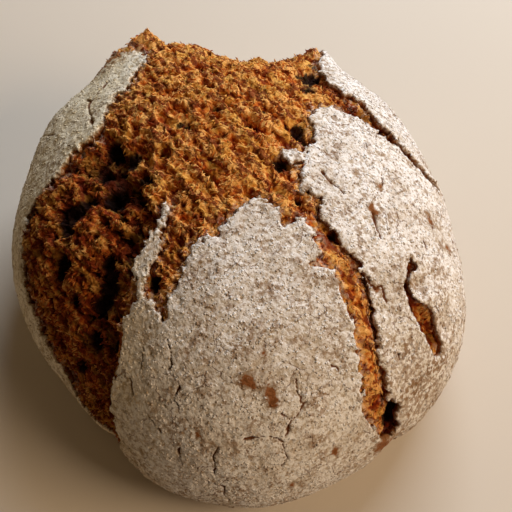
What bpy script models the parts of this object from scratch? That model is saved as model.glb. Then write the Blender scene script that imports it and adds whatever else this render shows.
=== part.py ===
"""Whole wheat cob loaf, round and floured, slashed crosswise and torn open in the oven.

The loaf is one closed solid that stands on its flat base. Its skin is worked out on the crust map:
a flat disc with the crown at its middle and the base's edge at its rim, on which every area keeps its
size. u runs to the loaf's right (+X) and v to its back (+Y), in millimetres. A point of the map has a
place on a smooth dome, and the tears, lips and bumps then move it in or out along the dome's normal.
"""

from dataclasses import dataclass

import bmesh
import bpy
import numpy as np

MM = 0.001

# The dome.
HEIGHT = 112.0
GIRTH_LEVEL = 0.30  # height of the widest line, as a share of HEIGHT
BASE_SHARE = 0.76  # radius of the flat base, as a share of the girth's
SHOULDER_POWER = 2.25  # above 2 it squares the shoulder off
GIRTH_RADII = (103, 105, 111, 109, 114, 109, 102, 96, 100, 114, 112, 111)  # every 30 degrees from +X
MEAN_RADIUS = 108.0
CENTRE = (1.0, -2.0)  # middle of the loaf's box, seen from the dome's own axis

# The mesh: rings of the crust map, ring k with 6 k points, so that its triangles are near equal.
RINGS = 36
PROFILE_STEPS = 400
SNAP_SHARE = 0.45  # points this near a tear's edge, in ring spacings, move onto it

# How deep the crumb lies in each opening, and how its edges rise.
CRUST_DROP = 3.5
GROOVE_DEPTH = 2.0  # the crumb lies lowest beside the crust's edge
GROOVE_REACH = 9.0
VALLEY_DEPTH = 6.5
VALLEY_REACH = 26.0
SPLIT_DEPTH = 7.0
WALL_WIDTH = 4.5
LIP_RISE = 1.4
LIP_REACH = 9.0

# The great tear, with the slash and the rear crack as its arms, in order round its edge.
LEFT_CRUST_EDGE = (
    (-46, 92), (-45, 70), (-48, 57), (-56, 46), (-60, 33), (-70, 22), (-84, 12), (-97, -2),
    (-108, -18), (-112, -34), (-108, -60), (-98, -83), (-94, -97), (-84, -112), (-66, -126),
)
FRONT_LOBE_EDGE = ((-61, -108), (-59, -97), (-51, -85), (-48, -69), (-38, -61), (-28, -66))
FRONT_TOP_EDGE = ((-20, -55), (-14, -39), (-1, -29), (10, -19), (19, -25), (30, -27), (36, -41))
SLASH_NEAR_EDGE = ((43, -52), (50, -70), (55, -88), (59, -101), (74, -110))
SLASH_FAR_EDGE = ((84, -103), (78, -93), (67, -86), (60, -66), (50, -41), (37, -27), (29, -8))
RIGHT_CRUST_EDGE = ((34, 8), (36, 22), (37, 37))
CRACK_NEAR_EDGE = ((58, 36), (75, 28), (94, 20))
CRACK_FAR_EDGE = ((107, 14), (86, 30), (70, 42), (52, 52), (42, 66), (42, 88))
BACK_EDGE = ((42, 102), (30, 124), (2, 138), (-26, 130), (-43, 110))
GREAT_TEAR = (
    LEFT_CRUST_EDGE + FRONT_LOBE_EDGE + FRONT_TOP_EDGE + SLASH_NEAR_EDGE + SLASH_FAR_EDGE
    + RIGHT_CRUST_EDGE + CRACK_NEAR_EDGE + CRACK_FAR_EDGE + BACK_EDGE
)
SIDE_SPLIT = ((80, -33), (73, -36), (71, -47), (80, -61), (90, -70), (99, -67), (85, -53), (77, -42))
# A sliver of crust left standing in the tear.
SLIVER = ((-29, -23), (-27, -32), (-30, -50), (-34, -60), (-42, -56), (-42, -48), (-35, -37))
# The step in the crumb, from the back to the front: the side towards the left crust lies lower.
CRUMB_STEP = ((-62, 44), (-58, 26), (-47, 10), (-41, -4), (-31, -24), (-42, -52), (-50, -78), (-60, -110))


@dataclass(frozen=True)
class Bump:
    """A round rise of the skin, or a hollow where rise is negative. Lengths are in millimetres."""

    u: float
    v: float
    spread: float
    rise: float

    def height(self, u, v):
        """Rise at the points (u, v), falling away as a bell curve."""
        far = ((u - self.u) ** 2 + (v - self.v) ** 2) / (2 * self.spread**2)
        return self.rise * np.exp(-far)


SKIN_BUMPS = (
    Bump(-46, 86, 14, 5.0),  # shoulder of crust under the ear
    Bump(-41, 88, 4.5, 9.0),  # ear: a pointed flap at the tear's rear left corner
    Bump(42, 90, 8, 5.0),  # rear right corner of the tear
    Bump(4, 96, 12, -5.5),  # dip of the back between them
    Bump(18, 94, 8, -2.5),
    Bump(91, -117, 6, -4.0),  # foot of the slash, at the girth
    Bump(-76, -127, 6, -3.5),  # foot of the left tear, at the girth
    Bump(-46, -140, 14, 2.0),  # front crust's left flank
)
CRUMB_BUMPS = (
    Bump(-26, 80, 15, 5.0),  # pushed up behind
    Bump(-8, 26, 22, 3.0),  # crown of the crumb
    Bump(20, 56, 9, 1.5),
    Bump(-86, -22, 18, 3.0),  # low swell in the left valley
)


def smooth_step(low, high, x):
    """0 below low, 1 above high, and a smooth rise between them."""
    t = np.clip((x - low) / (high - low), 0, 1)
    return t * t * (3 - 2 * t)


def dome_profile():
    """(map radius, share of the girth's radius, height) down the side, from the crown to the base."""
    turn = np.linspace(np.pi / 2, 0, PROFILE_STEPS)
    upper_share = np.cos(turn) ** (2 / SHOULDER_POWER)
    upper_height = HEIGHT * (GIRTH_LEVEL + (1 - GIRTH_LEVEL) * np.sin(turn))
    lower_share = BASE_SHARE + (1 - BASE_SHARE) * np.sin(turn[1:])
    lower_height = HEIGHT * GIRTH_LEVEL * (1 - np.cos(turn[1:]))
    share = np.concatenate([upper_share, lower_share])
    height = np.concatenate([upper_height, lower_height])
    slope = np.hypot(np.diff(share) * MEAN_RADIUS, np.diff(height))
    band = np.pi * (share[1:] + share[:-1]) * MEAN_RADIUS * slope
    area = np.concatenate([[0], np.cumsum(band)])
    return np.sqrt(area / np.pi), share, height


MAP_RADIUS, SHARE, PROFILE_HEIGHT = dome_profile()
RIM = MAP_RADIUS[-1]


def girth_radius(angle):
    """Radius of the girth at an angle from +X: a smooth closed curve through GIRTH_RADII."""
    count = len(GIRTH_RADII)
    place = np.mod(angle, 2 * np.pi) / (2 * np.pi) * count
    wave = np.fft.rfft(GIRTH_RADII) / count
    radius = np.full_like(place, wave[0].real)
    for k in range(1, len(wave)):
        double = 1 if 2 * k == count else 2
        radius += double * (wave[k] * np.exp(2j * np.pi * k * place / count)).real
    return radius


def dome_point(u, v):
    """Points of the smooth dome, in millimetres, for points of the crust map."""
    angle = np.arctan2(v, u)
    distance = np.hypot(u, v)
    radius = np.interp(distance, MAP_RADIUS, SHARE) * girth_radius(angle)
    height = np.interp(distance, MAP_RADIUS, PROFILE_HEIGHT)
    return np.stack([radius * np.cos(angle), radius * np.sin(angle), height], axis=-1)


def dome_normal(u, v, step=0.5):
    """Outward normals of the dome."""
    along_u = dome_point(u + step, v) - dome_point(u - step, v)
    along_v = dome_point(u, v + step) - dome_point(u, v - step)
    normal = np.cross(along_u, along_v)
    return normal / np.linalg.norm(normal, axis=-1, keepdims=True)


def nearest_on_line(u, v, corners, closed):
    """(distance, nearest u, nearest v, side) to a line through corners; side is positive to its left."""
    start = np.array(corners, float)
    end = np.roll(start, -1, axis=0)
    if not closed:
        start, end = start[:-1], end[:-1]
    run = end - start
    away_u = u[:, None] - start[:, 0]
    away_v = v[:, None] - start[:, 1]
    share = np.clip((away_u * run[:, 0] + away_v * run[:, 1]) / (run**2).sum(1), 0, 1)
    gap_u = away_u - share * run[:, 0]
    gap_v = away_v - share * run[:, 1]
    gap = np.hypot(gap_u, gap_v)
    pick = (np.arange(len(u)), gap.argmin(axis=1))
    side = run[:, 0] * away_v - run[:, 1] * away_u
    return gap[pick], u - gap_u[pick], v - gap_v[pick], side[pick]


def inside(u, v, corners):
    """Whether each point lies within a closed outline."""
    start = np.array(corners, float)
    end = np.roll(start, -1, axis=0)
    crosses = (start[:, 1] > v[:, None]) != (end[:, 1] > v[:, None])
    rise = np.where(end[:, 1] == start[:, 1], 1, end[:, 1] - start[:, 1])
    meets = start[:, 0] + (v[:, None] - start[:, 1]) / rise * (end[:, 0] - start[:, 0])
    return (crosses & (u[:, None] < meets)).sum(axis=1) % 2 == 1


def depth_inside(u, v, corners):
    """Distance to a closed outline: positive inside it, negative outside."""
    gap = nearest_on_line(u, v, corners, closed=True)[0]
    return np.where(inside(u, v, corners), gap, -gap)


def snapped(u, v, corners, reach):
    """The points, with those within reach of an outline moved onto it."""
    gap, near_u, near_v, _ = nearest_on_line(u, v, corners, closed=True)
    close = gap < reach
    return np.where(close, near_u, u), np.where(close, near_v, v)


def crumb_level(u, v, from_edge):
    """Level of the torn crumb against the dome: the valley on the left, the pushed up crumb elsewhere."""
    gap, _, _, side = nearest_on_line(u, v, CRUMB_STEP, closed=False)
    beyond_step = np.where(side < 0, gap, -gap)
    valley = VALLEY_DEPTH * np.exp(-np.clip(beyond_step, 0, None) / VALLEY_REACH)
    level = -CRUST_DROP - valley * smooth_step(-1, 4, beyond_step)
    level -= GROOVE_DEPTH * smooth_step(GROOVE_REACH, 0, from_edge)
    return level + sum(bump.height(u, v) for bump in CRUMB_BUMPS)


def skin_offset(u, v):
    """How far the skin stands out from the dome, in millimetres."""
    tear = np.minimum(depth_inside(u, v, GREAT_TEAR), -depth_inside(u, v, SLIVER))
    split = depth_inside(u, v, SIDE_SPLIT)
    edge = -np.maximum(tear, split)
    lip = LIP_RISE * smooth_step(LIP_REACH, 0, edge) * (edge >= 0)
    offset = sum(bump.height(u, v) for bump in SKIN_BUMPS) + lip
    offset += smooth_step(0, WALL_WIDTH, tear) * crumb_level(u, v, tear)
    offset -= smooth_step(0, WALL_WIDTH, split) * SPLIT_DEPTH
    return offset * smooth_step(RIM, RIM - 2 * RIM / RINGS, np.hypot(u, v))


def ring_points():
    """Points of the crust map: the middle, then ring after ring out to the rim."""
    u, v = [0.0], [0.0]
    for ring in range(1, RINGS + 1):
        angle = 2 * np.pi * np.arange(6 * ring) / (6 * ring)
        u.extend(ring / RINGS * RIM * np.cos(angle))
        v.extend(ring / RINGS * RIM * np.sin(angle))
    return np.array(u), np.array(v)


def ring_faces():
    """Triangles between the rings, each with its corners anticlockwise on the map."""
    faces = []
    for ring in range(1, RINGS + 1):
        inner_first = 1 + 3 * (ring - 1) * (ring - 2) if ring > 1 else 0
        outer_first = 1 + 3 * ring * (ring - 1)
        inner_count, outer_count = max(6 * (ring - 1), 1), 6 * ring
        for sector in range(6):
            for step in range(ring):
                outer = sector * ring + step
                inner = inner_first + (sector * (ring - 1) + step) % inner_count
                this = outer_first + outer
                following = outer_first + (outer + 1) % outer_count
                faces.append((inner, this, following))
                if step < ring - 1:
                    inner_next = inner_first + (sector * (ring - 1) + step + 1) % inner_count
                    faces.append((inner, following, inner_next))
    return faces


def loaf_points():
    """(points in metres, their u, their v) of the skin, with the tears' edges on mesh edges."""
    u, v = ring_points()
    on_skin = np.hypot(u, v) < RIM - 1
    moved_u, moved_v = u, v
    for outline in (GREAT_TEAR, SLIVER, SIDE_SPLIT):
        moved_u, moved_v = snapped(moved_u, moved_v, outline, SNAP_SHARE * RIM / RINGS)
    u, v = np.where(on_skin, moved_u, u), np.where(on_skin, moved_v, v)
    points = dome_point(u, v) + dome_normal(u, v) * skin_offset(u, v)[:, None]
    points[~on_skin, 2] = 0
    points[:, :2] -= CENTRE
    return points * MM, u, v


def food_material(name, colour, roughness):
    """A Principled material of one linear colour."""
    material = bpy.data.materials.new(name)
    material.use_nodes = True
    shader = material.node_tree.nodes["Principled BSDF"]
    shader.inputs["Base Color"].default_value = (*colour, 1)
    shader.inputs["Roughness"].default_value = roughness
    shader.inputs["Metallic"].default_value = 0
    return material


def build_loaf():
    """The loaf: its skin, closed by one flat face underneath."""
    points, u, v = loaf_points()
    bm = bmesh.new()
    verts = [bm.verts.new(point) for point in points]
    torn = (depth_inside(u, v, GREAT_TEAR) > -0.1) & (depth_inside(u, v, SLIVER) < 0.1)
    torn |= depth_inside(u, v, SIDE_SPLIT) > -0.1
    for corners in ring_faces():
        face = bm.faces.new([verts[i] for i in corners])
        face.material_index = int(torn[list(corners)].all())
    rim = verts[-6 * RINGS :]
    bm.faces.new(rim[::-1])
    mesh = bpy.data.meshes.new("loaf")
    bm.to_mesh(mesh)
    bm.free()
    mesh.materials.append(food_material("floured_crust", (0.52, 0.43, 0.33), 0.95))
    mesh.materials.append(food_material("torn_crumb", (0.24, 0.09, 0.03), 0.85))
    mesh.shade_smooth()
    loaf = bpy.data.objects.new("loaf", mesh)
    bpy.context.scene.collection.objects.link(loaf)
    return loaf


def main():
    """Clears the scene and models the loaf."""
    for obj in list(bpy.data.objects):
        bpy.data.objects.remove(obj)
    build_loaf()


main()
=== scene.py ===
"""Looks of a whole wheat cob loaf: floured crust quarters round a wide tear of rough, toasted crumb.

The loaf's skin is worked out on the crust map: a flat disc with the crown at its middle and the edge
of the flat base at its rim, on which every area keeps its size. u runs to the right (+X), v to the
back (+Y). Lengths here are in millimetres, and meshes are written in metres.
"""

import logging
import math
from dataclasses import dataclass, field
from enum import Enum
from functools import cached_property
from typing import Any, Callable

import bpy
import numpy as np
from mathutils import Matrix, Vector
from mathutils.geometry import delaunay_2d_cdt


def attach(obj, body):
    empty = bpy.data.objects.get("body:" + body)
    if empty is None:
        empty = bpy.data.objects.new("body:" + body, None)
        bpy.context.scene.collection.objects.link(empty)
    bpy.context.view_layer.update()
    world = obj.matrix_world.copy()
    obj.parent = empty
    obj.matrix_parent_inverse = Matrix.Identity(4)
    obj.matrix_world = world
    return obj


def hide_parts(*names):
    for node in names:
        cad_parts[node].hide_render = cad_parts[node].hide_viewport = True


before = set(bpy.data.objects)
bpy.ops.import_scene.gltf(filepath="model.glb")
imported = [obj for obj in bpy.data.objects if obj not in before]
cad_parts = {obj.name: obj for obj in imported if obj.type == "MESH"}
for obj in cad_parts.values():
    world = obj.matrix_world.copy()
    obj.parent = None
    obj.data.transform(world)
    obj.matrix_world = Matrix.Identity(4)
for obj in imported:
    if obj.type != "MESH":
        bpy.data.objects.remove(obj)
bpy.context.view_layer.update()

LOG = logging.getLogger("cob_loaf")
MM = 0.001
BODY = "root"
NODE = "loaf"
STRAND_WAY = 50.0  # way the torn strands run, in degrees from the right towards the front
STRAND_STRETCH = 0.45  # a strand's width as a share of its length
NOISE_REACH = 2.6  # brings a noise texture's values about its middle to a range of about 2
CHUNK = 40000  # points whose distance to an outline is worked out at once

Line = tuple[tuple[float, float], ...]
Span = tuple[float, float]
Array = np.ndarray

# Outlines on the crust map. The tear's edge goes round in one loop, in these runs.
LEFT_CRUST_EDGE: Line = (
    (-46, 92), (-50, 88), (-57, 85), (-64, 80), (-70, 73), (-62, 76), (-55, 80), (-47, 82), (-41, 80),
    (-39, 75), (-40, 68), (-43, 61), (-44, 54), (-47, 48), (-52, 47), (-54, 41), (-57, 36), (-58, 29),
    (-62, 23), (-69, 21), (-74, 21), (-78, 13), (-86, 8), (-96, 6), (-103, -1), (-107, -10), (-110, -22),
    (-112, -32), (-110, -46), (-107, -60), (-106, -72), (-101, -82), (-99, -95), (-94, -106), (-86, -114),
    (-76, -121), (-66, -127),
)
FRONT_LOBE_EDGE: Line = (
    (-60, -120), (-61, -108), (-59, -97), (-52, -88), (-50, -78), (-48, -69), (-41, -62), (-33, -61),
    (-28, -68),
)
FRONT_TOP_EDGE: Line = (
    (-24, -68), (-25, -60), (-20, -55), (-18, -46), (-14, -39), (-6, -35), (-1, -29), (4, -22),
    (11, -19), (18, -22), (21, -28), (28, -26), (33, -30), (35, -39),
)
SLASH_NEAR_EDGE: Line = (
    (31, -44), (40, -45), (43, -55), (48, -66), (52, -76), (55, -88), (57, -99), (66, -103), (74, -110),
)
SLASH_FAR_EDGE: Line = (
    (80, -108), (84, -103), (80, -99), (78, -93), (70, -91), (66, -84), (62, -73), (59, -62),
    (56, -52), (50, -41), (43, -32), (36, -26), (36, -16), (28, -14),
)
RIGHT_CRUST_EDGE: Line = ((29, -5), (33, 1), (34, 9), (37, 18), (34, 26), (36, 36))
CRACK_NEAR_EDGE: Line = (
    (45, 36), (57, 36), (66, 33), (75, 30), (84, 27), (92, 24), (98, 19), (105, 18), (113, 19),
)
CRACK_FAR_EDGE: Line = (
    (114, 23), (107, 25), (100, 26), (93, 31), (85, 33), (77, 37), (68, 42), (61, 49), (50, 52), (43, 58),
    (40, 70), (42, 88),
)
BACK_EDGE: Line = (
    (43, 100), (38, 114), (28, 126), (16, 134), (2, 138), (-14, 136), (-28, 128), (-38, 117), (-45, 104),
)
GREAT_TEAR: Line = (
    LEFT_CRUST_EDGE + FRONT_LOBE_EDGE + FRONT_TOP_EDGE + SLASH_NEAR_EDGE + SLASH_FAR_EDGE
    + RIGHT_CRUST_EDGE + CRACK_NEAR_EDGE + CRACK_FAR_EDGE + BACK_EDGE
)
SIDE_SPLIT: Line = (
    (75, -33), (79, -35), (78, -38), (75, -40), (75, -45), (77, -49), (81, -50), (87, -51), (92, -57),
    (97, -63), (97, -67), (93, -71), (88, -67), (80, -60), (75, -55), (72, -50), (71, -46), (72, -41),
    (73, -36),
)
SLIVER: Line = (
    (-27, -22), (-30, -33), (-31, -41), (-33, -47), (-36, -53), (-38, -57), (-37, -62), (-43, -61),
    (-43, -50), (-40, -43), (-36, -36), (-32, -28), (-30, -22),
)
CHIP: Line = ((23, 7), (31, 7), (32, 2), (27, -2), (23, 2))
# The step in the crumb: the side towards the left crust lies lower.
CRUMB_STEP: Line = (
    (-62, 44), (-58, 26), (-47, 10), (-41, -4), (-31, -24), (-37, -41), (-42, -52), (-50, -78), (-60, -110),
)
# Middle of the crack between the right and the rear quarters.
REAR_CRACK: Line = ((40, 60), (50, 44), (66, 38), (84, 30), (92, 27), (99, 22), (113, 21))
# Narrow cracks in the crust.
FISSURES: tuple[Line, ...] = (
    ((-38, -79), (-37, -83), (-38, -87)),
    ((-24, -75), (-24, -80), (-25, -86)),
    ((-21, -92), (-23, -95), (-21, -99)),
    ((-36, -104), (-34, -107), (-30, -110)),
    ((-22, -114), (-23, -118), (-21, -123)),
    ((6, -108), (12, -106), (20, -107), (23, -109), (24, -113), (22, -119)),
    ((20, -97), (24, -101), (24, -106)),
    ((24, -101), (28, -98), (30, -94)),
    ((26, -84), (27, -89), (29, -94)),
    ((-46, -92), (-44, -97)),
    ((-4, -111), (-7, -118), (-8, -124)),
    ((-11, -129), (-3, -131), (-2, -141)),
    ((39, -77), (44, -82)),
    ((84, -22), (86, -27)),
    ((68, 5), (65, -8)),
    ((71, -72), (71, -75)),
    ((93, -17), (93, -19)),
    ((-98, 55), (-94, 49), (-88, 43), (-82, 38)),
)
# Wider cracks, and a fold in the left crust.
WIDE_FISSURES: tuple[Line, ...] = (
    ((39, -3), (42, -8), (46, -12)),
    ((59, -19), (60, -24), (62, -28)),
    ((53, -45), (58, -50), (61, -49), (63, -53)),
    ((93, -8), (93, -12)),
    ((-67, 55), (-65, 48), (-63, 40), (-62, 31)),
    ((-57, 62), (-60, 56), (-65, 52)),
)
# Quarters of the crust, each bounded by lines that run down the middle of the tears and on to the rim.
FRONT_QUARTER: Line = (
    (8, -8), (24, -18), (38, -34), (48, -56), (56, -80), (62, -98), (77, -110), (130, -186),
    (0, -260), (-110, -210), (-64, -124), (-56, -90), (-46, -66), (-30, -58), (-26, -40),
)
RIGHT_QUARTER: Line = (
    (8, -8), (24, -18), (38, -34), (48, -56), (56, -80), (62, -98), (77, -110), (130, -186),
    (260, -100), (260, 34), (113, 21), (99, 22), (92, 27), (84, 30), (60, 42), (38, 48), (22, 20),
)
REAR_QUARTER: Line = (
    (260, 34), (113, 21), (99, 22), (92, 27), (84, 30), (60, 42), (38, 48), (2, 60), (2, 138), (3, 260),
    (200, 220),
)


class Plate(Enum):
    """Pieces that the crust is made in, by the quarter they cover."""

    FRONT = "crust_front"
    RIGHT = "crust_right"
    REAR = "crust_rear"
    LEFT = "crust_left"
    ISLANDS = "crust_islands"


def smooth_step(low: float, high: float, x: Array) -> Array:
    """0 at low, 1 at high, and a smooth rise between them."""
    t = np.clip((x - low) / (high - low), 0, 1)
    return t * t * (3 - 2 * t)


def value_noise(u: Array, v: Array, size: float, seed: int) -> Array:
    """Smooth random values over the map.

    Args:
        u: Places to the right.
        v: Places to the back.
        size: Distance between the random values.
        seed: Picks the values.

    Returns:
        Values from -1 to 1.
    """
    side = 256
    table = np.random.default_rng(seed).uniform(-1, 1, (side, side))
    x, y = u / size, v / size
    column, row = np.floor(x).astype(int), np.floor(y).astype(int)
    fx, fy = x - column, y - row
    fx, fy = fx * fx * (3 - 2 * fx), fy * fy * (3 - 2 * fy)

    def at(i: int, j: int) -> Array:
        return table[(row + j) % side, (column + i) % side]

    lower = at(0, 0) * (1 - fx) + at(1, 0) * fx
    upper = at(0, 1) * (1 - fx) + at(1, 1) * fx
    return lower * (1 - fy) + upper * fy


@dataclass(frozen=True)
class Ripple:
    """Smooth random unevenness of one size."""

    size: float
    height: float
    seed: int

    def at(self, u: Array, v: Array) -> Array:
        """Heights at the points, above and below zero."""
        return self.height * value_noise(u, v, self.size, self.seed)


@dataclass(frozen=True)
class Outline:
    """A line on the crust map, closed or open."""

    corners: Line
    closed: bool = True

    def _ends(self) -> tuple[Array, Array]:
        """Start and end of each of its straight runs."""
        start = np.array(self.corners, float)
        end = np.roll(start, -1, axis=0)
        return (start, end) if self.closed else (start[:-1], end[:-1])

    def gap(self, u: Array, v: Array) -> tuple[Array, Array]:
        """How far points are from the line.

        Args:
            u: Places to the right.
            v: Places to the back.

        Returns:
            The distance, and the side: positive to the line's left.
        """
        start, end = self._ends()
        run = end - start
        length = (run**2).sum(1)
        gaps, sides = [], []
        for first in range(0, len(u), CHUNK):
            away_u = u[first : first + CHUNK, None] - start[:, 0]
            away_v = v[first : first + CHUNK, None] - start[:, 1]
            share = np.clip((away_u * run[:, 0] + away_v * run[:, 1]) / length, 0, 1)
            gap = np.hypot(away_u - share * run[:, 0], away_v - share * run[:, 1])
            nearest = (np.arange(len(gap)), gap.argmin(axis=1))
            gaps.append(gap[nearest])
            sides.append((run[:, 0] * away_v - run[:, 1] * away_u)[nearest])
        return np.concatenate(gaps), np.concatenate(sides)

    def holds(self, u: Array, v: Array) -> Array:
        """Whether each point is inside the closed line."""
        start, end = self._ends()
        return enclosed(u, v, start, end)

    def depth(self, u: Array, v: Array) -> Array:
        """Distance to the line, positive inside it and negative outside."""
        gap = self.gap(u, v)[0]
        return np.where(self.holds(u, v), gap, -gap)


def enclosed(u: Array, v: Array, start: Array, end: Array) -> Array:
    """Whether points are inside the loops that straight runs make.

    Args:
        u: Places to the right.
        v: Places to the back.
        start: One row for the start of each run.
        end: One row for the end of each run.

    Returns:
        True for the points inside.
    """
    found = []
    chunk = CHUNK // 4
    rise = np.where(end[:, 1] == start[:, 1], 1, end[:, 1] - start[:, 1])
    for first in range(0, len(u), chunk):
        part_u, part_v = u[first : first + chunk, None], v[first : first + chunk, None]
        crosses = (start[:, 1] > part_v) != (end[:, 1] > part_v)
        meets = start[:, 0] + (part_v - start[:, 1]) / rise * (end[:, 0] - start[:, 0])
        found.append((crosses & (part_u < meets)).sum(axis=1) % 2 == 1)
    return np.concatenate(found)


@dataclass(frozen=True)
class Bump:
    """A round rise of the skin, or a hollow where rise is negative."""

    u: float
    v: float
    spread: float
    rise: float

    def height(self, u: Array, v: Array) -> Array:
        """Rise at the points, falling away as a bell curve."""
        far = ((u - self.u) ** 2 + (v - self.v) ** 2) / (2 * self.spread**2)
        return self.rise * np.exp(-far)


# Where the flour came off and the toasted crust shows.
BARE_SPOTS: tuple[Bump, ...] = (
    Bump(6, -86, 2.0, 1.0), Bump(9, -87, 1.5, 0.9), Bump(15, -89, 2.0, 1.0), Bump(17, -93, 2.0, 1.0),
    Bump(13, -76, 1.2, 0.9), Bump(47, -114, 1.6, 1.0), Bump(-13, -108, 1.2, 0.9),
    Bump(93, -9, 2.2, 1.0), Bump(104, -18, 2.0, 0.9), Bump(29, -130, 1.5, 0.9), Bump(66, -3, 1.6, 0.8),
    Bump(88, -118, 7.0, 0.8), Bump(76, -112, 4.0, 0.9), Bump(-60, 82, 6.0, 0.9), Bump(-50, 86, 5.0, 0.9),
    Bump(-84, 14, 6.0, 0.3), Bump(-104, -12, 6.0, 0.3), Bump(-62, 40, 3.5, 0.4), Bump(-110, 40, 30, 0.15),
    Bump(-110, -80, 22, 0.2), Bump(-55, -125, 14, 0.2),
    Bump(59, -18, 1.7, 1.0), Bump(58, -15, 1.3, 0.8), Bump(59, -50, 1.4, 0.9),
    Bump(79, -43, 3.0, 0.4), Bump(84, -48, 2.5, 0.35), Bump(95, -56, 3.0, 0.35),  # beside the split
    Bump(88, -84, 15, 0.36), Bump(66, -72, 8, 0.15), Bump(99, -66, 7, 0.2),
)


@dataclass(frozen=True)
class Dome:
    """The loaf's smooth dome, without its tears."""

    height: float = 112.0
    girth_level: float = 0.30
    base_share: float = 0.76
    shoulder_power: float = 2.25
    mean_radius: float = 108.0
    girth_radii: tuple[float, ...] = (103, 105, 111, 109, 114, 109, 102, 96, 100, 114, 112, 111)
    centre: tuple[float, float] = (1.0, -2.0)
    steps: int = 400
    tuck: float = 0.12  # how far the skin carries on under the base, as a share of the girth's radius
    tuck_steps: int = 20
    level_rim: float = 9.0  # map distance from the base's edge over which the bumps fade out
    bumps: tuple[Bump, ...] = (
        Bump(-46, 86, 14, 5.0),  # shoulder of crust under the ear
        Bump(-40, 89, 3.5, 8.5),  # ear: a pointed flap at the tear's rear left corner
        # Lip behind the ear.
        Bump(-50, 86, 4.5, 4.5), Bump(-58, 81, 6, 3.0),
        Bump(-90, 62, 14, 3.0),  # left crust's shoulder
        Bump(-20, 90, 7, 2.0),  # skyline of the crumb beside the ear
        # Rear right corner of the tear.
        Bump(42, 90, 8, 5.0), Bump(39, 90, 4, 3.0),
        Bump(109, 22, 7, 1.6),  # end of the rear crack
        # The skin falls away on the split's far side.
        Bump(79, -44, 3.2, -2.8), Bump(95, -56, 3.5, -1.8),
        # Dip of the back between the ear and the rear right corner.
        Bump(4, 96, 12, -5.5), Bump(18, 94, 8, -2.5),
        Bump(91, -117, 6, -4.0),  # foot of the slash, at the girth
        Bump(-76, -127, 6, -3.5),  # foot of the left tear, at the girth
        Bump(-46, -140, 14, 2.0),  # front crust's left flank
    )

    def profile(self) -> tuple[Array, Array, Array]:
        """Map radius, share of the girth's radius and height down the side, from crown to base."""
        turn = np.linspace(np.pi / 2, 0, self.steps)
        level = self.girth_level
        share = np.concatenate([
            np.cos(turn) ** (2 / self.shoulder_power),
            self.base_share + (1 - self.base_share) * np.sin(turn[1:]),
        ])
        height = self.height * np.concatenate([
            level + (1 - level) * np.sin(turn),
            level * (1 - np.cos(turn[1:])),
        ])
        slope = np.hypot(np.diff(share) * self.mean_radius, np.diff(height))
        band = np.pi * (share[1:] + share[:-1]) * self.mean_radius * slope
        at = np.sqrt(np.concatenate([[0], np.cumsum(band)]) / np.pi)
        under = np.linspace(self.base_share, self.base_share - self.tuck, self.tuck_steps)[1:]
        ring = (self.base_share**2 - under**2) * self.mean_radius**2
        at = np.concatenate([at, np.sqrt(at[-1] ** 2 + ring)])
        return at, np.concatenate([share, under]), np.concatenate([height, 0 * under])

    @property
    def rim(self) -> float:
        """Map radius of the base's edge."""
        return float(self.profile()[0][2 * self.steps - 2])

    def girth(self, angle: Array) -> Array:
        """Radius of the girth at an angle from +X: a smooth closed curve through girth_radii."""
        count = len(self.girth_radii)
        place = np.mod(angle, 2 * np.pi) / (2 * np.pi) * count
        wave = np.fft.rfft(self.girth_radii) / count
        radius = np.full_like(place, wave[0].real)
        for k in range(1, len(wave)):
            double = 1 if 2 * k == count else 2
            radius += double * (wave[k] * np.exp(2j * np.pi * k * place / count)).real
        return radius

    def point(self, u: Array, v: Array) -> Array:
        """Points of the dome for points of the map."""
        at, share, height = self.profile()
        angle, distance = np.arctan2(v, u), np.hypot(u, v)
        radius = np.interp(distance, at, share) * self.girth(angle)
        x = radius * np.cos(angle) - self.centre[0]
        y = radius * np.sin(angle) - self.centre[1]
        return np.stack([x, y, np.interp(distance, at, height)], axis=-1)

    def normal(self, u: Array, v: Array, step: float = 0.5) -> Array:
        """Outward normals of the dome for points of the map."""
        along_u = self.point(u + step, v) - self.point(u - step, v)
        along_v = self.point(u, v + step) - self.point(u, v - step)
        across = np.cross(along_u, along_v)
        return across / np.linalg.norm(across, axis=-1, keepdims=True)

    def swell(self, u: Array, v: Array) -> Array:
        """Height of the bumps, fading out at the rim so that the base stays flat."""
        rise = sum(bump.height(u, v) for bump in self.bumps)
        return rise * smooth_step(self.rim, self.rim - self.level_rim, np.hypot(u, v))


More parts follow.
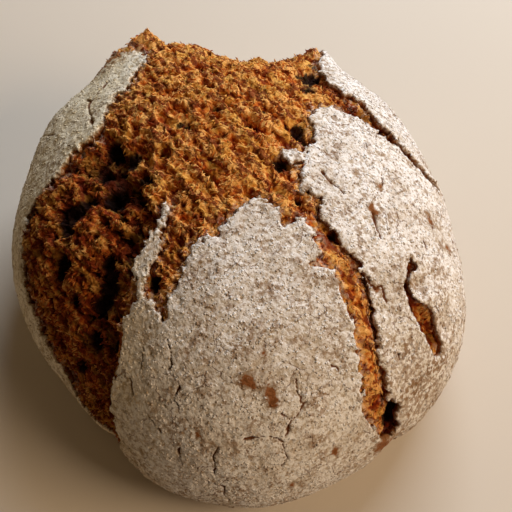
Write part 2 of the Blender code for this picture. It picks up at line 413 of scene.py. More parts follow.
@dataclass(frozen=True)
class Tears:
    """Where the crust ends, and how deep the crumb lies beside it."""

    great: Outline = Outline(GREAT_TEAR)
    split: Outline = Outline(SIDE_SPLIT)
    islands: tuple[Outline, ...] = (Outline(SLIVER), Outline(CHIP))
    step: Outline = Outline(CRUMB_STEP, closed=False)
    crack: Outline = Outline(REAR_CRACK, closed=False)
    left_edge: Outline = Outline(LEFT_CRUST_EDGE, closed=False)
    slash_edge: Outline = Outline(SLASH_FAR_EDGE[:-1], closed=False)
    cut_depth: float = 1.2
    body_depth: float = 3.4  # under the crust
    groove_depth: float = 0.9
    groove_reach: float = 4.0
    valley_depth: float = 9.5
    valley_reach: float = 22.0
    valley_front: float = 0.5  # share of its depth at its front
    valley_fall: Span = (-28, 6)  # where it goes down to the full depth, from its front to its back
    crack_depth: float = 2.2
    split_depth: float = 4.6
    slash_dip: float = 1.4
    slash_dip_reach: float = 4.5
    # Where the crumb's walls start and end, as distances from the step, an edge or a crack's middle.
    step_wall: Span = (-2, 6)
    left_wall: Span = (0, 14)
    split_wall: Span = (-1, 2.5)
    crack_wall: Span = (8, 3)
    crust_wall: Span = (-0.5, 2.5)
    step_wander: tuple[Ripple, ...] = (Ripple(11, 5, 14), Ripple(11, 5, 15))
    # The broken edge of the crust: waves, notches cut into it, and crumbs.
    edge_waves: Ripple = Ripple(7.0, 1.2, 11)
    edge_notches: Ripple = Ripple(3.4, 1.0, 12)
    notch_cut: float = 2.6
    notch_rise: float = 1.2
    edge_crumbs: Ripple = Ripple(1.4, 0.7, 13)
    clean_share: float = 0.3  # share of that which the side split's clean edge has
    clean_reach: Span = (2, 7)
    hollow_from: float = -1.9  # a bump that goes down further than this is a hollow that gets painted shade
    hollow_dark: Span = (-0.8, -3.2)
    crumb_bumps: tuple[Bump, ...] = (
        Bump(-26, 80, 15, 2.6),  # pushed up behind
        # Crown of the crumb.
        Bump(-8, 26, 22, 2.5), Bump(20, 56, 9, 1.5),
        Bump(-88, -20, 18, 2.0),  # low swell in the left valley
        # A spike on the rear skyline, and the dip beside it.
        Bump(12, 82, 2.4, 3.0), Bump(2, 84, 5, -1.5),
        # Crumb that swelled up in the slash.
        Bump(44, -52, 9, 0.6), Bump(56, -80, 9, 0.8),
        Bump(79, -99, 5, -6.0),  # hollow at the foot of the slash
        # Deep stretch of the split, and its shallow end.
        Bump(73, -46, 2.5, -3.5), Bump(76, -53, 2.5, -3.0), Bump(83, -60, 2.5, -1.5),
        Bump(90, -58, 3, 1.2),
        Bump(-34, -56, 2.4, -5.5),  # hollow at the foot of the sliver
        # Hollows under the step.
        Bump(-44, 6, 4, -5.0), Bump(-38, -6, 3, -4.0), Bump(-42, -15, 2, -2.5),
        # Hollows in the left valley.
        Bump(-54, 17, 4, -4.0), Bump(-60, 4, 3.5, -4.0), Bump(-74, 12, 2.5, -3.0), Bump(-54, -11, 5, -4.5),
        Bump(-67, -10, 3, -3.5), Bump(-99, -1, 2.5, -4.5), Bump(-77, -14, 5, -5.0),
        Bump(-79, -23, 2.5, -3.0), Bump(-58, -24, 2, -3.0), Bump(-44, -28, 2.5, -3.0),
        Bump(-50, -35, 2, -3.0), Bump(-84, -36, 3, -4.5), Bump(-86, -43, 3, -4.0), Bump(-60, -44, 3, -4.0),
        Bump(-60, -54, 4, -4.5), Bump(-66, -63, 4, -4.0), Bump(-80, -57, 3, -3.5), Bump(-72, -78, 5, -3.5),
        Bump(-58, -82, 3, -3.5), Bump(-88, -88, 4, -3.0),
        # Hollows under the rear right corner.
        Bump(38, 78, 2.5, -3.0), Bump(37, 67, 3, -6.0),
        # Hollows beside the right crust and at the head of the slash.
        Bump(33, 59, 3.5, -6.0), Bump(33, 48, 3, -3.5), Bump(29, 20, 3.0, -4.5), Bump(33, 14, 2, -3.0),
        Bump(21, 0, 3.0, -4.5), Bump(41, -30, 2.2, -3.0), Bump(27, -17, 1.8, -3.5),
        Bump(19, -14, 1.6, -2.5),
        # Hollows in the crown, and a rise.
        Bump(14, 28, 1.8, -3.5), Bump(7, 20, 2.0, -3.0), Bump(-6, -3, 7, 1.5), Bump(-6, 29, 2.0, -3.0),
        Bump(-17, 18, 1.8, -3.0), Bump(-21, 20, 1.6, -3.0), Bump(-18, 27, 1.5, -2.5),
        Bump(-26, 38, 1.8, -2.5), Bump(-11, 44, 1.8, -2.5), Bump(4, 41, 1.8, -2.5),
        Bump(-30, 8, 1.8, -2.5),
    )

    def into_crust(self, u: Array, v: Array) -> Array:
        """Distance from the nearest crust edge, positive in the crust and negative in a tear."""
        tear = self.great.depth(u, v)
        for island in self.islands:
            tear = np.minimum(tear, -island.depth(u, v))
        return -np.maximum(tear, self.split.depth(u, v))

    def ragged(self, u: Array, v: Array) -> Array:
        """The same distance with the broken, crumbly edge that torn crust has."""
        notch = self.notch_rise * (1 - self.notch_cut * np.abs(self.edge_notches.at(u, v)))
        from_split = smooth_step(*self.clean_reach, -self.split.depth(u, v))
        rough = self.clean_share + (1 - self.clean_share) * from_split
        return self.into_crust(u, v) + rough * (
            self.edge_waves.at(u, v) + notch + self.edge_crumbs.at(u, v)
        )

    def beyond_step(self, u: Array, v: Array) -> Array:
        """Distance past the step in the crumb, positive on its lower, left side."""
        wander_u, wander_v = (ripple.at(u, v) for ripple in self.step_wander)
        gap, side = self.step.gap(u + wander_u, v + wander_v)
        return np.where(side < 0, gap, -gap)

    def hollows(self, u: Array, v: Array) -> Array:
        """How far down in one of the small hollows of the crumb, from 0 to 1."""
        drop = sum(bump.height(u, v) for bump in self.crumb_bumps if bump.rise < self.hollow_from)
        return smooth_step(*self.hollow_dark, drop)

    def crumb_level(self, u: Array, v: Array, into_crust: Array) -> Array:
        """Level of the crumb against the dome, under the crust too.

        Args:
            u: Places to the right.
            v: Places to the back.
            into_crust: What into_crust gives for them.

        Returns:
            Heights, negative below the dome.
        """
        beyond = self.beyond_step(u, v)
        valley = self.valley_depth * np.exp(-np.clip(beyond, 0, None) / self.valley_reach)
        valley *= self.valley_front + (1 - self.valley_front) * smooth_step(*self.valley_fall, v)
        valley *= smooth_step(*self.left_wall, self.left_edge.gap(u, v)[0])
        level = -self.cut_depth - valley * smooth_step(*self.step_wall, beyond)
        level += sum(bump.height(u, v) for bump in self.crumb_bumps)
        level -= self.groove_depth * smooth_step(-self.groove_reach, 0, into_crust)
        level -= self.split_depth * smooth_step(*self.split_wall, self.split.depth(u, v))
        level -= self.crack_depth * smooth_step(*self.crack_wall, self.crack.gap(u, v)[0])
        level -= self.slash_dip * smooth_step(self.slash_dip_reach, 0, self.slash_edge.gap(u, v)[0])
        under = smooth_step(*self.crust_wall, into_crust)
        return level * (1 - under) - self.body_depth * under


@dataclass
class Patch:
    """A net of triangles on the crust map, its corners anticlockwise."""

    u: Array
    v: Array
    faces: Array

    def plan(self) -> Array:
        """Places of its points, as rows of u and v."""
        return np.stack([self.u, self.v], 1)

    def rims(self) -> Array:
        """Edges with one triangle only, as (start, end) rows in that triangle's order."""
        ends = np.concatenate([self.faces[:, [0, 1]], self.faces[:, [1, 2]], self.faces[:, [2, 0]]])
        count = len(self.u)
        key = ends.min(1).astype(np.int64) * count + ends.max(1)
        _, first, times = np.unique(key, return_index=True, return_counts=True)
        return ends[first[times == 1]]

    def areas(self) -> Array:
        """Signed area of each triangle on the map."""
        u, v = self.u[self.faces], self.v[self.faces]
        cross = (u[:, 1] - u[:, 0]) * (v[:, 2] - v[:, 0]) - (u[:, 2] - u[:, 0]) * (v[:, 1] - v[:, 0])
        return cross / 2

    def pinched(self) -> Array:
        """Whether each triangle has a corner where the rim meets itself at a single point."""
        twice = np.bincount(self.rims()[:, 0], minlength=len(self.u)) > 1
        return twice[self.faces].any(axis=1)

    def only(self, keep: Array) -> "Patch":
        """The patch with only the marked triangles and the points that they use."""
        faces = self.faces[keep]
        used, index = np.unique(faces, return_inverse=True)
        return Patch(self.u[used], self.v[used], index.reshape(faces.shape))

    def without_pinches(self) -> "Patch":
        """The patch without the triangles that meet others at a single point of its rim."""
        patch, pinched = self, self.pinched()
        while pinched.any():
            patch = patch.only(~pinched)
            pinched = patch.pinched()
        return patch


@dataclass(frozen=True)
class Net:
    """Even triangles over the part of the map where a field is positive."""

    spacing: float
    reach: float
    shallow: float = 0.45  # points this near the field's zero line, in spacings, move onto it
    search: float = 1.3  # how much further off they are looked for
    probe: float = 0.2  # step that the field's slope is measured over, in spacings
    least_slope: float = 0.25  # squared
    least_area: float = 0.08  # of a triangle that stays, in squares of the spacing

    def lay(self, inside: Callable[[Array, Array], Array]) -> Patch:
        """Lays the net.

        Args:
            inside: Gives a field for places on the map, about the distance to the edge.

        Returns:
            The net, its edge drawn onto the field's zero line.
        """
        row_step = self.spacing * math.sqrt(3) / 2
        half = int(self.reach / row_step) + 2
        rows = np.arange(-half, half + 1)
        columns = np.arange(-int(self.reach / self.spacing) - 2, int(self.reach / self.spacing) + 3)
        u = (columns[None, :] + 0.5 * (rows[:, None] % 2)) * self.spacing
        v = np.broadcast_to(rows[:, None] * row_step, u.shape)
        width = len(columns)
        lower_left = (np.arange(len(rows) - 1)[:, None] * width + np.arange(width - 1)).ravel()
        odd = np.repeat(rows[:-1] % 2 == 1, width - 1)[:, None]
        a, b = lower_left, lower_left + 1
        c, d = lower_left + width, lower_left + width + 1
        even_faces = np.stack([a, b, c, b, d, c], 1)
        odd_faces = np.stack([a, b, d, a, d, c], 1)
        faces = np.where(odd, odd_faces, even_faces).reshape(-1, 3)
        u, v = u.ravel().astype(float), v.ravel().astype(float)
        near_disc = (np.hypot(u, v) < self.reach + 2 * self.spacing)[faces].all(axis=1)
        patch = Patch(u, v, faces[near_disc])
        patch = patch.only(np.ones(len(patch.faces), bool))
        return self._drawn_on(patch, inside)

    def _drawn_on(self, patch: Patch, inside: Callable[[Array, Array], Array]) -> Patch:
        """Cuts the net at the zero line and moves the nearest points onto it."""
        value = inside(patch.u, patch.v)
        near = np.flatnonzero(np.abs(value) < self.shallow * self.spacing * self.search)
        u, v = patch.u.copy(), patch.v.copy()
        here_u, here_v = u[near], v[near]
        small = self.probe * self.spacing
        for _ in range(2):
            at = inside(here_u, here_v)
            slope_u = (inside(here_u + small, here_v) - inside(here_u - small, here_v)) / (2 * small)
            slope_v = (inside(here_u, here_v + small) - inside(here_u, here_v - small)) / (2 * small)
            steep = np.maximum(slope_u**2 + slope_v**2, self.least_slope)
            here_u = here_u - at * slope_u / steep
            here_v = here_v - at * slope_v / steep
        move = np.hypot(here_u - u[near], here_v - v[near])
        fits = move < self.shallow * self.spacing
        u[near[fits]], v[near[fits]] = here_u[fits], here_v[fits]
        kept = value > 0
        kept[near[fits]] = True
        cut = Patch(u, v, patch.faces).only(kept[patch.faces].all(axis=1))
        return cut.only(cut.areas() > self.least_area * self.spacing**2).without_pinches()


def spanned(places: Array, bounds: Array) -> tuple[Array, Array, Array]:
    """Flat triangles over some places, with edges that they keep.

    Args:
        places: Places on the crust map.
        bounds: The edges, as rows with the numbers of two places.

    Returns:
        The corners, the triangles, and for each place the number of its corner.
    """
    points = [Vector(place) for place in places]
    corners, _, faces, origins, _, _ = delaunay_2d_cdt(points, bounds.tolist(), [], 0, 1e-7)
    number = np.full(len(places), -1)
    for corner, names in enumerate(origins):
        number[list(names)] = corner
    return np.array([tuple(corner) for corner in corners]), np.array(faces), number


def lining(patch: Patch, spacing: float) -> tuple[Patch, Array]:
    """A coarse net with the same rim as a fine one, to close it from behind.

    Args:
        patch: The fine net.
        spacing: Distance between the coarse net's inner points.

    Returns:
        The coarse net, and for each point of the fine one its number there, or -1.
    """
    rims = patch.rims()
    plan = patch.plan()
    start, end = plan[rims].transpose(1, 0, 2)
    ring, bounds = np.unique(rims, return_inverse=True)
    low, high = start.min(0), start.max(0)
    grid = np.meshgrid(np.arange(low[0], high[0], spacing), np.arange(low[1], high[1], spacing))
    grid = np.stack([g.ravel() for g in grid], 1)
    grid = grid[enclosed(*grid.T, start, end)]
    clear = [np.hypot(*(start - place).T).min() > spacing / 3 for place in grid]
    places = np.concatenate([plan[ring], grid[np.array(clear, bool)]])
    corners, faces, number = spanned(places, bounds.reshape(-1, 2))
    coarse = Patch(*corners.T, faces[enclosed(*corners[faces].mean(1).T, start, end)])
    to_coarse = np.full(len(patch.u), -1)
    to_coarse[ring] = number[: len(ring)]
    return coarse, to_coarse


@dataclass
class Sheet:
    """Points of a piece that share one role, with what their relief and their finish need."""

    at: Array
    out: Array
    plan: Array
    hold: Array  # share of the relief that it gets
    edge: Array  # distance into the crust
    fissure: Array  # depth in a narrow crack or a small hollow, from 0 to 1
    bare: Array  # on the crust how far the flour is off; on the crumb how dark it is, partly baked browner and partly painted shade; from 0 to 1
    level: Array  # level against the dome
    sow: Array  # share of the small bits that lie on it

    def only(self, keep: Array) -> "Sheet":
        """The sheet with some of its points."""
        return Sheet(*(getattr(self, key)[keep] for key in self.__dataclass_fields__))


def joined(sheets: list[Sheet]) -> Sheet:
    """One sheet with the points of several, in order."""
    keys = Sheet.__dataclass_fields__
    return Sheet(*(np.concatenate([getattr(sheet, key) for sheet in sheets]) for key in keys))


def outward(patch: Patch) -> Array:
    """Directions on the map that lead out over a net's rim, for its rim points; zero for the others."""
    rims = patch.rims()
    start, end = patch.plan()[rims].transpose(1, 0, 2)
    along = end - start
    across = np.stack([along[:, 1], -along[:, 0]], 1)
    total = np.zeros((len(patch.u), 2))
    for column in (0, 1):
        np.add.at(total, rims[:, column], across)
    return total / np.maximum(np.linalg.norm(total, axis=1, keepdims=True), 1e-9)


def close_shell(outer: Patch, rows: list[Sheet], back: Patch, to_back: Array) -> tuple[Sheet, Array, Array]:
    """Joins a fine surface, the wall below its rim and a coarse lining into one closed solid.

    Args:
        outer: The fine net.
        rows: Its points, then each row of the wall with a point for every point of the net, then the
            lining's points.
        back: The coarse net.
        to_back: For each point of the fine net its number in the coarse one, or -1.

    Returns:
        All points, the triangles, and which triangles belong to the lining.
    """
    rims = outer.rims()
    ring = np.unique(rims)
    sheets, faces = [rows[0]], [outer.faces]
    upper = np.arange(len(outer.u))
    total = len(outer.u)
    for row in rows[1:]:
        lower = np.full(len(outer.u), -1)
        last = row is rows[-1]
        lower[ring] = total + (to_back[ring] if last else np.arange(len(ring)))
        sheets.append(row if last else row.only(ring))
        total += 0 if last else len(ring)
        a, b = upper[rims[:, 0]], upper[rims[:, 1]]
        below_a, below_b = lower[rims[:, 0]], lower[rims[:, 1]]
        faces.append(np.stack([b, a, below_a, b, below_a, below_b], 1).reshape(-1, 3))
        upper = lower
    faces.append(back.faces[:, ::-1] + total)
    hidden = np.zeros(sum(len(f) for f in faces), bool)
    hidden[-len(back.faces) :] = True
    return joined(sheets), np.concatenate(faces), hidden


def bake_places(plan: Array, faces: Array, hidden: Array) -> Array:
    """Place of each triangle's corners on the map for baking.

    Args:
        plan: Place of each point on the crust map.
        faces: The triangles.
        hidden: Triangles that no one sees, which get a small corner of their own.

    Returns:
        Places from 0 to 1, three for each triangle.
    """
    seen = np.unique(faces[~hidden])
    low, span = plan[seen].min(0), np.ptp(plan[seen], axis=0)
    unit = (plan - low) / span
    gap, corner, seen_from = 0.005, 0.05, 0.07
    places = unit[faces] * (0.99, 0.92) + (gap, seen_from)
    places[hidden] = np.clip(unit[faces[hidden]], 0, 1) * corner + gap
    return places


def placed(name: str, data: bpy.types.ID) -> bpy.types.Object:
    """An object in the scene that shows some data."""
    obj = bpy.data.objects.new(name, data)
    bpy.context.scene.collection.objects.link(obj)
    return obj


def mesh_object(name: str, sheet: Sheet, faces: Array, hidden: Array) -> bpy.types.Object:
    """Makes a mesh object from a closed piece's points and triangles.

    Args:
        name: The piece's name.
        sheet: Its points.
        faces: Its triangles.
        hidden: Those that no one sees.

    Returns:
        The object, with its values as attributes and a map for baking.
    """
    mesh = bpy.data.meshes.new(name)
    mesh.from_pydata(sheet.at * MM, [], faces)
    for key in ("hold", "edge", "fissure", "bare", "level", "sow"):
        layer = mesh.attributes.new(key, "FLOAT", "POINT")
        layer.data.foreach_set("value", getattr(sheet, key).astype(np.float32))
    layer = mesh.attributes.new("out", "FLOAT_VECTOR", "POINT")
    layer.data.foreach_set("vector", sheet.out.astype(np.float32).ravel())
    uv_layer = mesh.uv_layers.new(name="OFBake")
    uv_layer.uv.foreach_set("vector", bake_places(sheet.plan, faces, hidden).astype(np.float32).ravel())
    mesh.shade_smooth()
    return placed(name, mesh)


def add(tree: bpy.types.NodeTree, kind: str, *inputs: Any, **named: Any) -> Any:
    """Adds one node.

    Args:
        tree: The tree that gets it.
        kind: The node's type, which may go without ShaderNode, and its operation behind a space.
        inputs: What goes into its first sockets: a value, a socket, or a node, which stands for its
            first output. None leaves a socket alone.
        named: The same for sockets by name, with a capital, and the node's settings, without one.

    Returns:
        The node.
    """
    kind, _, operation = kind.partition(" ")
    node = tree.nodes.new(kind if "Node" in kind else "ShaderNode" + kind)
    settings = {name: value for name, value in named.items() if name[0].islower()}
    if operation:
        settings["operation"] = operation
    for name, value in settings.items():
        setattr(node, name, value)
    sockets = {name: value for name, value in (*enumerate(inputs), *named.items()) if name not in settings}
    for name, value in sockets.items():
        source = value.outputs[0] if isinstance(value, bpy.types.Node) else value
        if isinstance(source, bpy.types.NodeSocket):
            tree.links.new(source, node.inputs[name])
        elif source is not None:
            node.inputs[name].default_value = source
    return node


@dataclass
class ShapeTree:
    """A Geometry Nodes tree that works on one mesh, with named sizes in millimetres."""

    name: str
    sizes: dict[str, float]
    group: bpy.types.NodeTree = field(init=False)
    entry: bpy.types.Node = field(init=False)

    def __post_init__(self) -> None:
        """Makes the empty tree and its inputs."""
        self.group = bpy.data.node_groups.new(self.name, "GeometryNodeTree")
        face = self.group.interface
        face.new_socket("Geometry", in_out="INPUT", socket_type="NodeSocketGeometry")
        face.new_socket("Material", in_out="INPUT", socket_type="NodeSocketMaterial")
        for key in self.sizes:
            face.new_socket(key, in_out="INPUT", socket_type="NodeSocketFloat")
        face.new_socket("Geometry", in_out="OUTPUT", socket_type="NodeSocketGeometry")
        self.entry = self.group.nodes.new("NodeGroupInput")

    def size(self, key: str) -> bpy.types.NodeSocket:
        """Socket that carries one of the inputs."""
        return self.entry.outputs[key]

    def node(self, kind: str, *inputs: Any, **named: Any) -> Any:
        """Adds a node to this tree."""
        return add(self.group, kind, *inputs, **named)

    def place(self) -> Any:
        """Position of each point, in millimetres."""
        position = self.node("GeometryNodeInputPosition")
        return self.node("VectorMath SCALE", position, Scale=1 / MM)

    def swing(
        self, where: Any, name: str, detail: float, seed: float, rough: float = 0.55, height: Any = None
    ) -> Any:
        """Smooth noise about zero, with the size and height of the inputs of one name.

        Args:
            where: Place that it is read at, in millimetres.
            name: The inputs' name, without Size and Height.
            detail: How many finer layers it has.
            seed: Picks the noise.
            rough: Height of each finer layer as a share of the one before.
            height: Height that it has instead of the input's.

        Returns:
            The node that gives it.
        """
        height = self.size(f"{name} Height") if height is None else height
        scale = self.node("Math DIVIDE", 1.0, self.size(f"{name} Size"))
        noise = self.node(
            "TexNoise", Vector=where, W=seed, Scale=scale, Detail=detail, Roughness=rough,
            noise_dimensions="4D",
        )
        level = self.node("Math SUBTRACT", noise, 0.5)
        doubled = self.node("Math MULTIPLY", height, NOISE_REACH)
        return self.node("Math MULTIPLY", level, doubled)

    def web(self, where: Any, name: str, seed: float) -> Any:
        """Round ridges that join up like a net, with hollows between them.

        Args:
            where: Place that it is read at, in millimetres.
            name: Name of the inputs with its size and height.
            seed: Picks the net.

        Returns:
            The node that gives it.
        """
        waves = self.swing(where, name, 2, seed, height=1.0)
        fold = self.node("Math ABSOLUTE", waves)
        return self.node(
            "MapRange", fold, 0.0, 0.45, self.size(f"{name} Height"), 0.0, interpolation_type="SMOOTHSTEP"
        )

    def total(self, *terms: Any) -> Any:
        """Sum of some values."""
        result = terms[0]
        for term in terms[1:]:
            result = self.node("Math ADD", result, term)
        return result

    def drift(self, where: Any, lump: float, detail: float, reach: Any) -> Any:
        """Directions that wander smoothly.

        Args:
            where: Place that they are read at, in millimetres.
            lump: Size of the noise's lumps.
            detail: How many finer layers it has.
            reach: Their length.

        Returns:
            The node that gives them.
        """
        noise = self.node("TexNoise", Vector=where, Scale=1 / lump, Detail=detail)
        centred = self.node("VectorMath SUBTRACT", noise.outputs["Color"], (0.5, 0.5, 0.5))
        return self.node("VectorMath SCALE", centred, Scale=reach)

    def mould(self, relief: Any, move: Any) -> "ShapeTree":
        """Ends a tree that shapes a surface.

        Args:
            relief: Value that the finish reads as the surface's relief.
            move: How far each point moves, in metres.

        Returns:
            The tree.
        """
        noted = self.node(
            "GeometryNodeStoreNamedAttribute", Geometry=self.entry.outputs["Geometry"], Name="relief",
            Value=relief, data_type="FLOAT", domain="POINT",
        )
        self.close(self.node("GeometryNodeSetPosition", Geometry=noted, Offset=move))
        return self

    def close(self, geometry: Any) -> None:
        """Ends the tree: instances made real, and the finish set."""
        real = self.node("GeometryNodeRealizeInstances", geometry)
        dressed = self.node(
            "GeometryNodeSetMaterial", Geometry=real, Material=self.entry.outputs["Material"]
        )
        self.node("NodeGroupOutput", dressed)

    def run(self, obj: bpy.types.Object, material: bpy.types.Material) -> bpy.types.Object:
        """Runs the tree on an object.

        Args:
            obj: The object, which is used up.
            material: Finish for the result.

        Returns:
            A plain mesh object of the same name.
        """
        modifier = obj.modifiers.new(self.name, "NODES")
        modifier.node_group = self.group
        values = {"Material": material, **self.sizes}
        for item in self.group.interface.items_tree:
            if item.in_out == "INPUT" and item.name in values:
                modifier[item.identifier] = values[item.name]
        graph = bpy.context.evaluated_depsgraph_get()
        mesh = bpy.data.meshes.new_from_object(
            obj.evaluated_get(graph), preserve_all_data_layers=True, depsgraph=graph
        )
        name = obj.name
        bpy.data.objects.remove(obj)
        mesh.name = name
        return placed(name, mesh)


def linear(code: str) -> tuple[float, float, float, float]:
    """Linear colour of an sRGB hex code."""
    parts = [int(code[i : i + 2], 16) / 255 for i in (1, 3, 5)]
    return (*(c / 12.92 if c <= 0.04045 else ((c + 0.055) / 1.055) ** 2.4 for c in parts), 1.0)


def crust_relief() -> ShapeTree:
    """Tree for the crust's relief: soft swells, lumps, sandy grain, small pits and the narrow cracks."""
    tree = ShapeTree("crust_relief", {
        "Swell Size": 26.0, "Swell Height": 0.9, "Lump Size": 7.0, "Lump Height": 0.6,
        "Clod Size": 3.6, "Clod Height": 0.45, "Grain Size": 1.8, "Grain Height": 0.26,
        "Crumble Size": 2.6, "Crumble Height": 1.3, "Pit Size": 5.0, "Pit Depth": 1.0, "Crack Depth": 1.2,
    })
    place = tree.place()
    warp = tree.node("TexNoise", Vector=place, Scale=1 / 6, Detail=2.0)
    shift = tree.node("VectorMath MULTIPLY_ADD", warp.outputs["Color"], (2.0, 2.0, 2.0), place)
    fissure, edge, hold = (
        tree.node("GeometryNodeInputNamedAttribute", Name=name) for name in ("fissure", "edge", "hold")
    )
    out = tree.node("GeometryNodeInputNamedAttribute", Name="out", data_type="FLOAT_VECTOR")
    lumps = tree.total(
        tree.swing(shift, "Lump", 3, 2.0), tree.swing(shift, "Clod", 2, 5.0),
        tree.swing(place, "Grain", 2, 3.0),
    )
    scale = tree.node("Math DIVIDE", 1.0, tree.size("Pit Size"))
    cell = tree.node("TexVoronoi", Vector=shift, Scale=scale)
    chance = tree.node("SeparateXYZ", cell.outputs["Color"])
    reach = tree.node("MapRange", chance, 0.5, 1.0, 0.01, 0.24)
    pit = tree.node(
        "MapRange", cell.outputs["Distance"], 0.0, reach, 1.0, 0.0, interpolation_type="SMOOTHSTEP"
    )
    sunk = tree.total(*(
        tree.node("Math MULTIPLY", where, tree.size(depth))
        for where, depth in ((pit, "Pit Depth"), (fissure, "Crack Depth"))
    ))
    fine = tree.node("Math SUBTRACT", lumps, sunk)
    broken = tree.node("MapRange", edge, 1.4, -0.3, 0.0, 1.0)
    crumble = tree.swing(place, "Crumble", 3, 4.0)
    torn = tree.node("Math MULTIPLY", crumble, broken)
    rise = tree.total(tree.swing(place, "Swell", 3, 1.0), fine, torn)
    held = tree.node("Math MULTIPLY", rise, hold)
    metres = tree.node("Math MULTIPLY", held, MM)
    return tree.mould(fine, tree.node("VectorMath SCALE", out, Scale=metres))


def crumb_relief() -> ShapeTree:
    """Tree for the torn crumb: lumps, a web of drawn-out strands, dark holes, and shreds that lean over.

    The strands run longer one way than the other, as the crust pulled the crumb apart.
    """
    tree = ShapeTree("crumb_relief", {
        "Lump Size": 11.0, "Lump Height": 1.5, "Web Size": 8.5, "Web Height": 2.0,
        "Strand Size": 4.2, "Strand Height": 1.6, "Grit Size": 1.8, "Grit Height": 0.6,
        "Hole Size": 8.0, "Hole Depth": 1.7, "Pit Size": 3.4, "Pit Depth": 2.0,
        "Sink": 2.5, "Lean": 1.4, "Warp": 1.6, "Stretch": STRAND_STRETCH,
    })
    place = tree.place()
    browned_and_shaded, hold = (
        tree.node("GeometryNodeInputNamedAttribute", Name=name) for name in ("bare", "hold")
    )
    out = tree.node("GeometryNodeInputNamedAttribute", Name="out", data_type="FLOAT_VECTOR")
    reach = tree.node("Math MULTIPLY", tree.size("Warp"), NOISE_REACH)
    pushed = tree.drift(place, 4, 3.0, reach)
    bent = tree.node("VectorMath ADD", place, pushed)
    turned = tree.node("VectorRotate", Vector=bent, Angle=math.radians(STRAND_WAY))
    squeeze = tree.node("CombineXYZ", tree.size("Stretch"), 1.0, 1.0)
    drawn = tree.node("VectorMath MULTIPLY", turned, squeeze)
    height = tree.total(
        tree.swing(bent, "Lump", 4, 1.0, 0.66), tree.web(drawn, "Web", 5.0), tree.web(drawn, "Strand", 6.0),
        tree.swing(drawn, "Grit", 2, 2.0, 0.7),
    )
    deeper = tree.node("Math MULTIPLY_ADD", browned_and_shaded, 1.8, 1.0)
    for name, seed in (("Hole", 3.0), ("Pit", 4.0)):
        waves = tree.swing(drawn, name, 2, seed, height=1.0)
        drop = tree.node(
            "MapRange", waves, 0.18, 0.5, 0.0, tree.size(f"{name} Depth"), interpolation_type="SMOOTHSTEP"
        )
        sunk = tree.node("Math MULTIPLY", drop, deeper)
        height = tree.node("Math SUBTRACT", height, sunk)
    lowered = tree.node("Math SUBTRACT", height, tree.size("Sink"))
    held = tree.node("Math MULTIPLY", lowered, hold)
    up = tree.node("VectorMath SCALE", out, Scale=held)
    leaning = tree.node("Math MULTIPLY", tree.size("Lean"), hold)
    wide = tree.node("Math MULTIPLY", leaning, 3.0)
    both = tree.node("VectorMath ADD", up, tree.drift(bent, 2.6, 2.0, wide))
    return tree.mould(height, tree.node("VectorMath SCALE", both, Scale=MM))


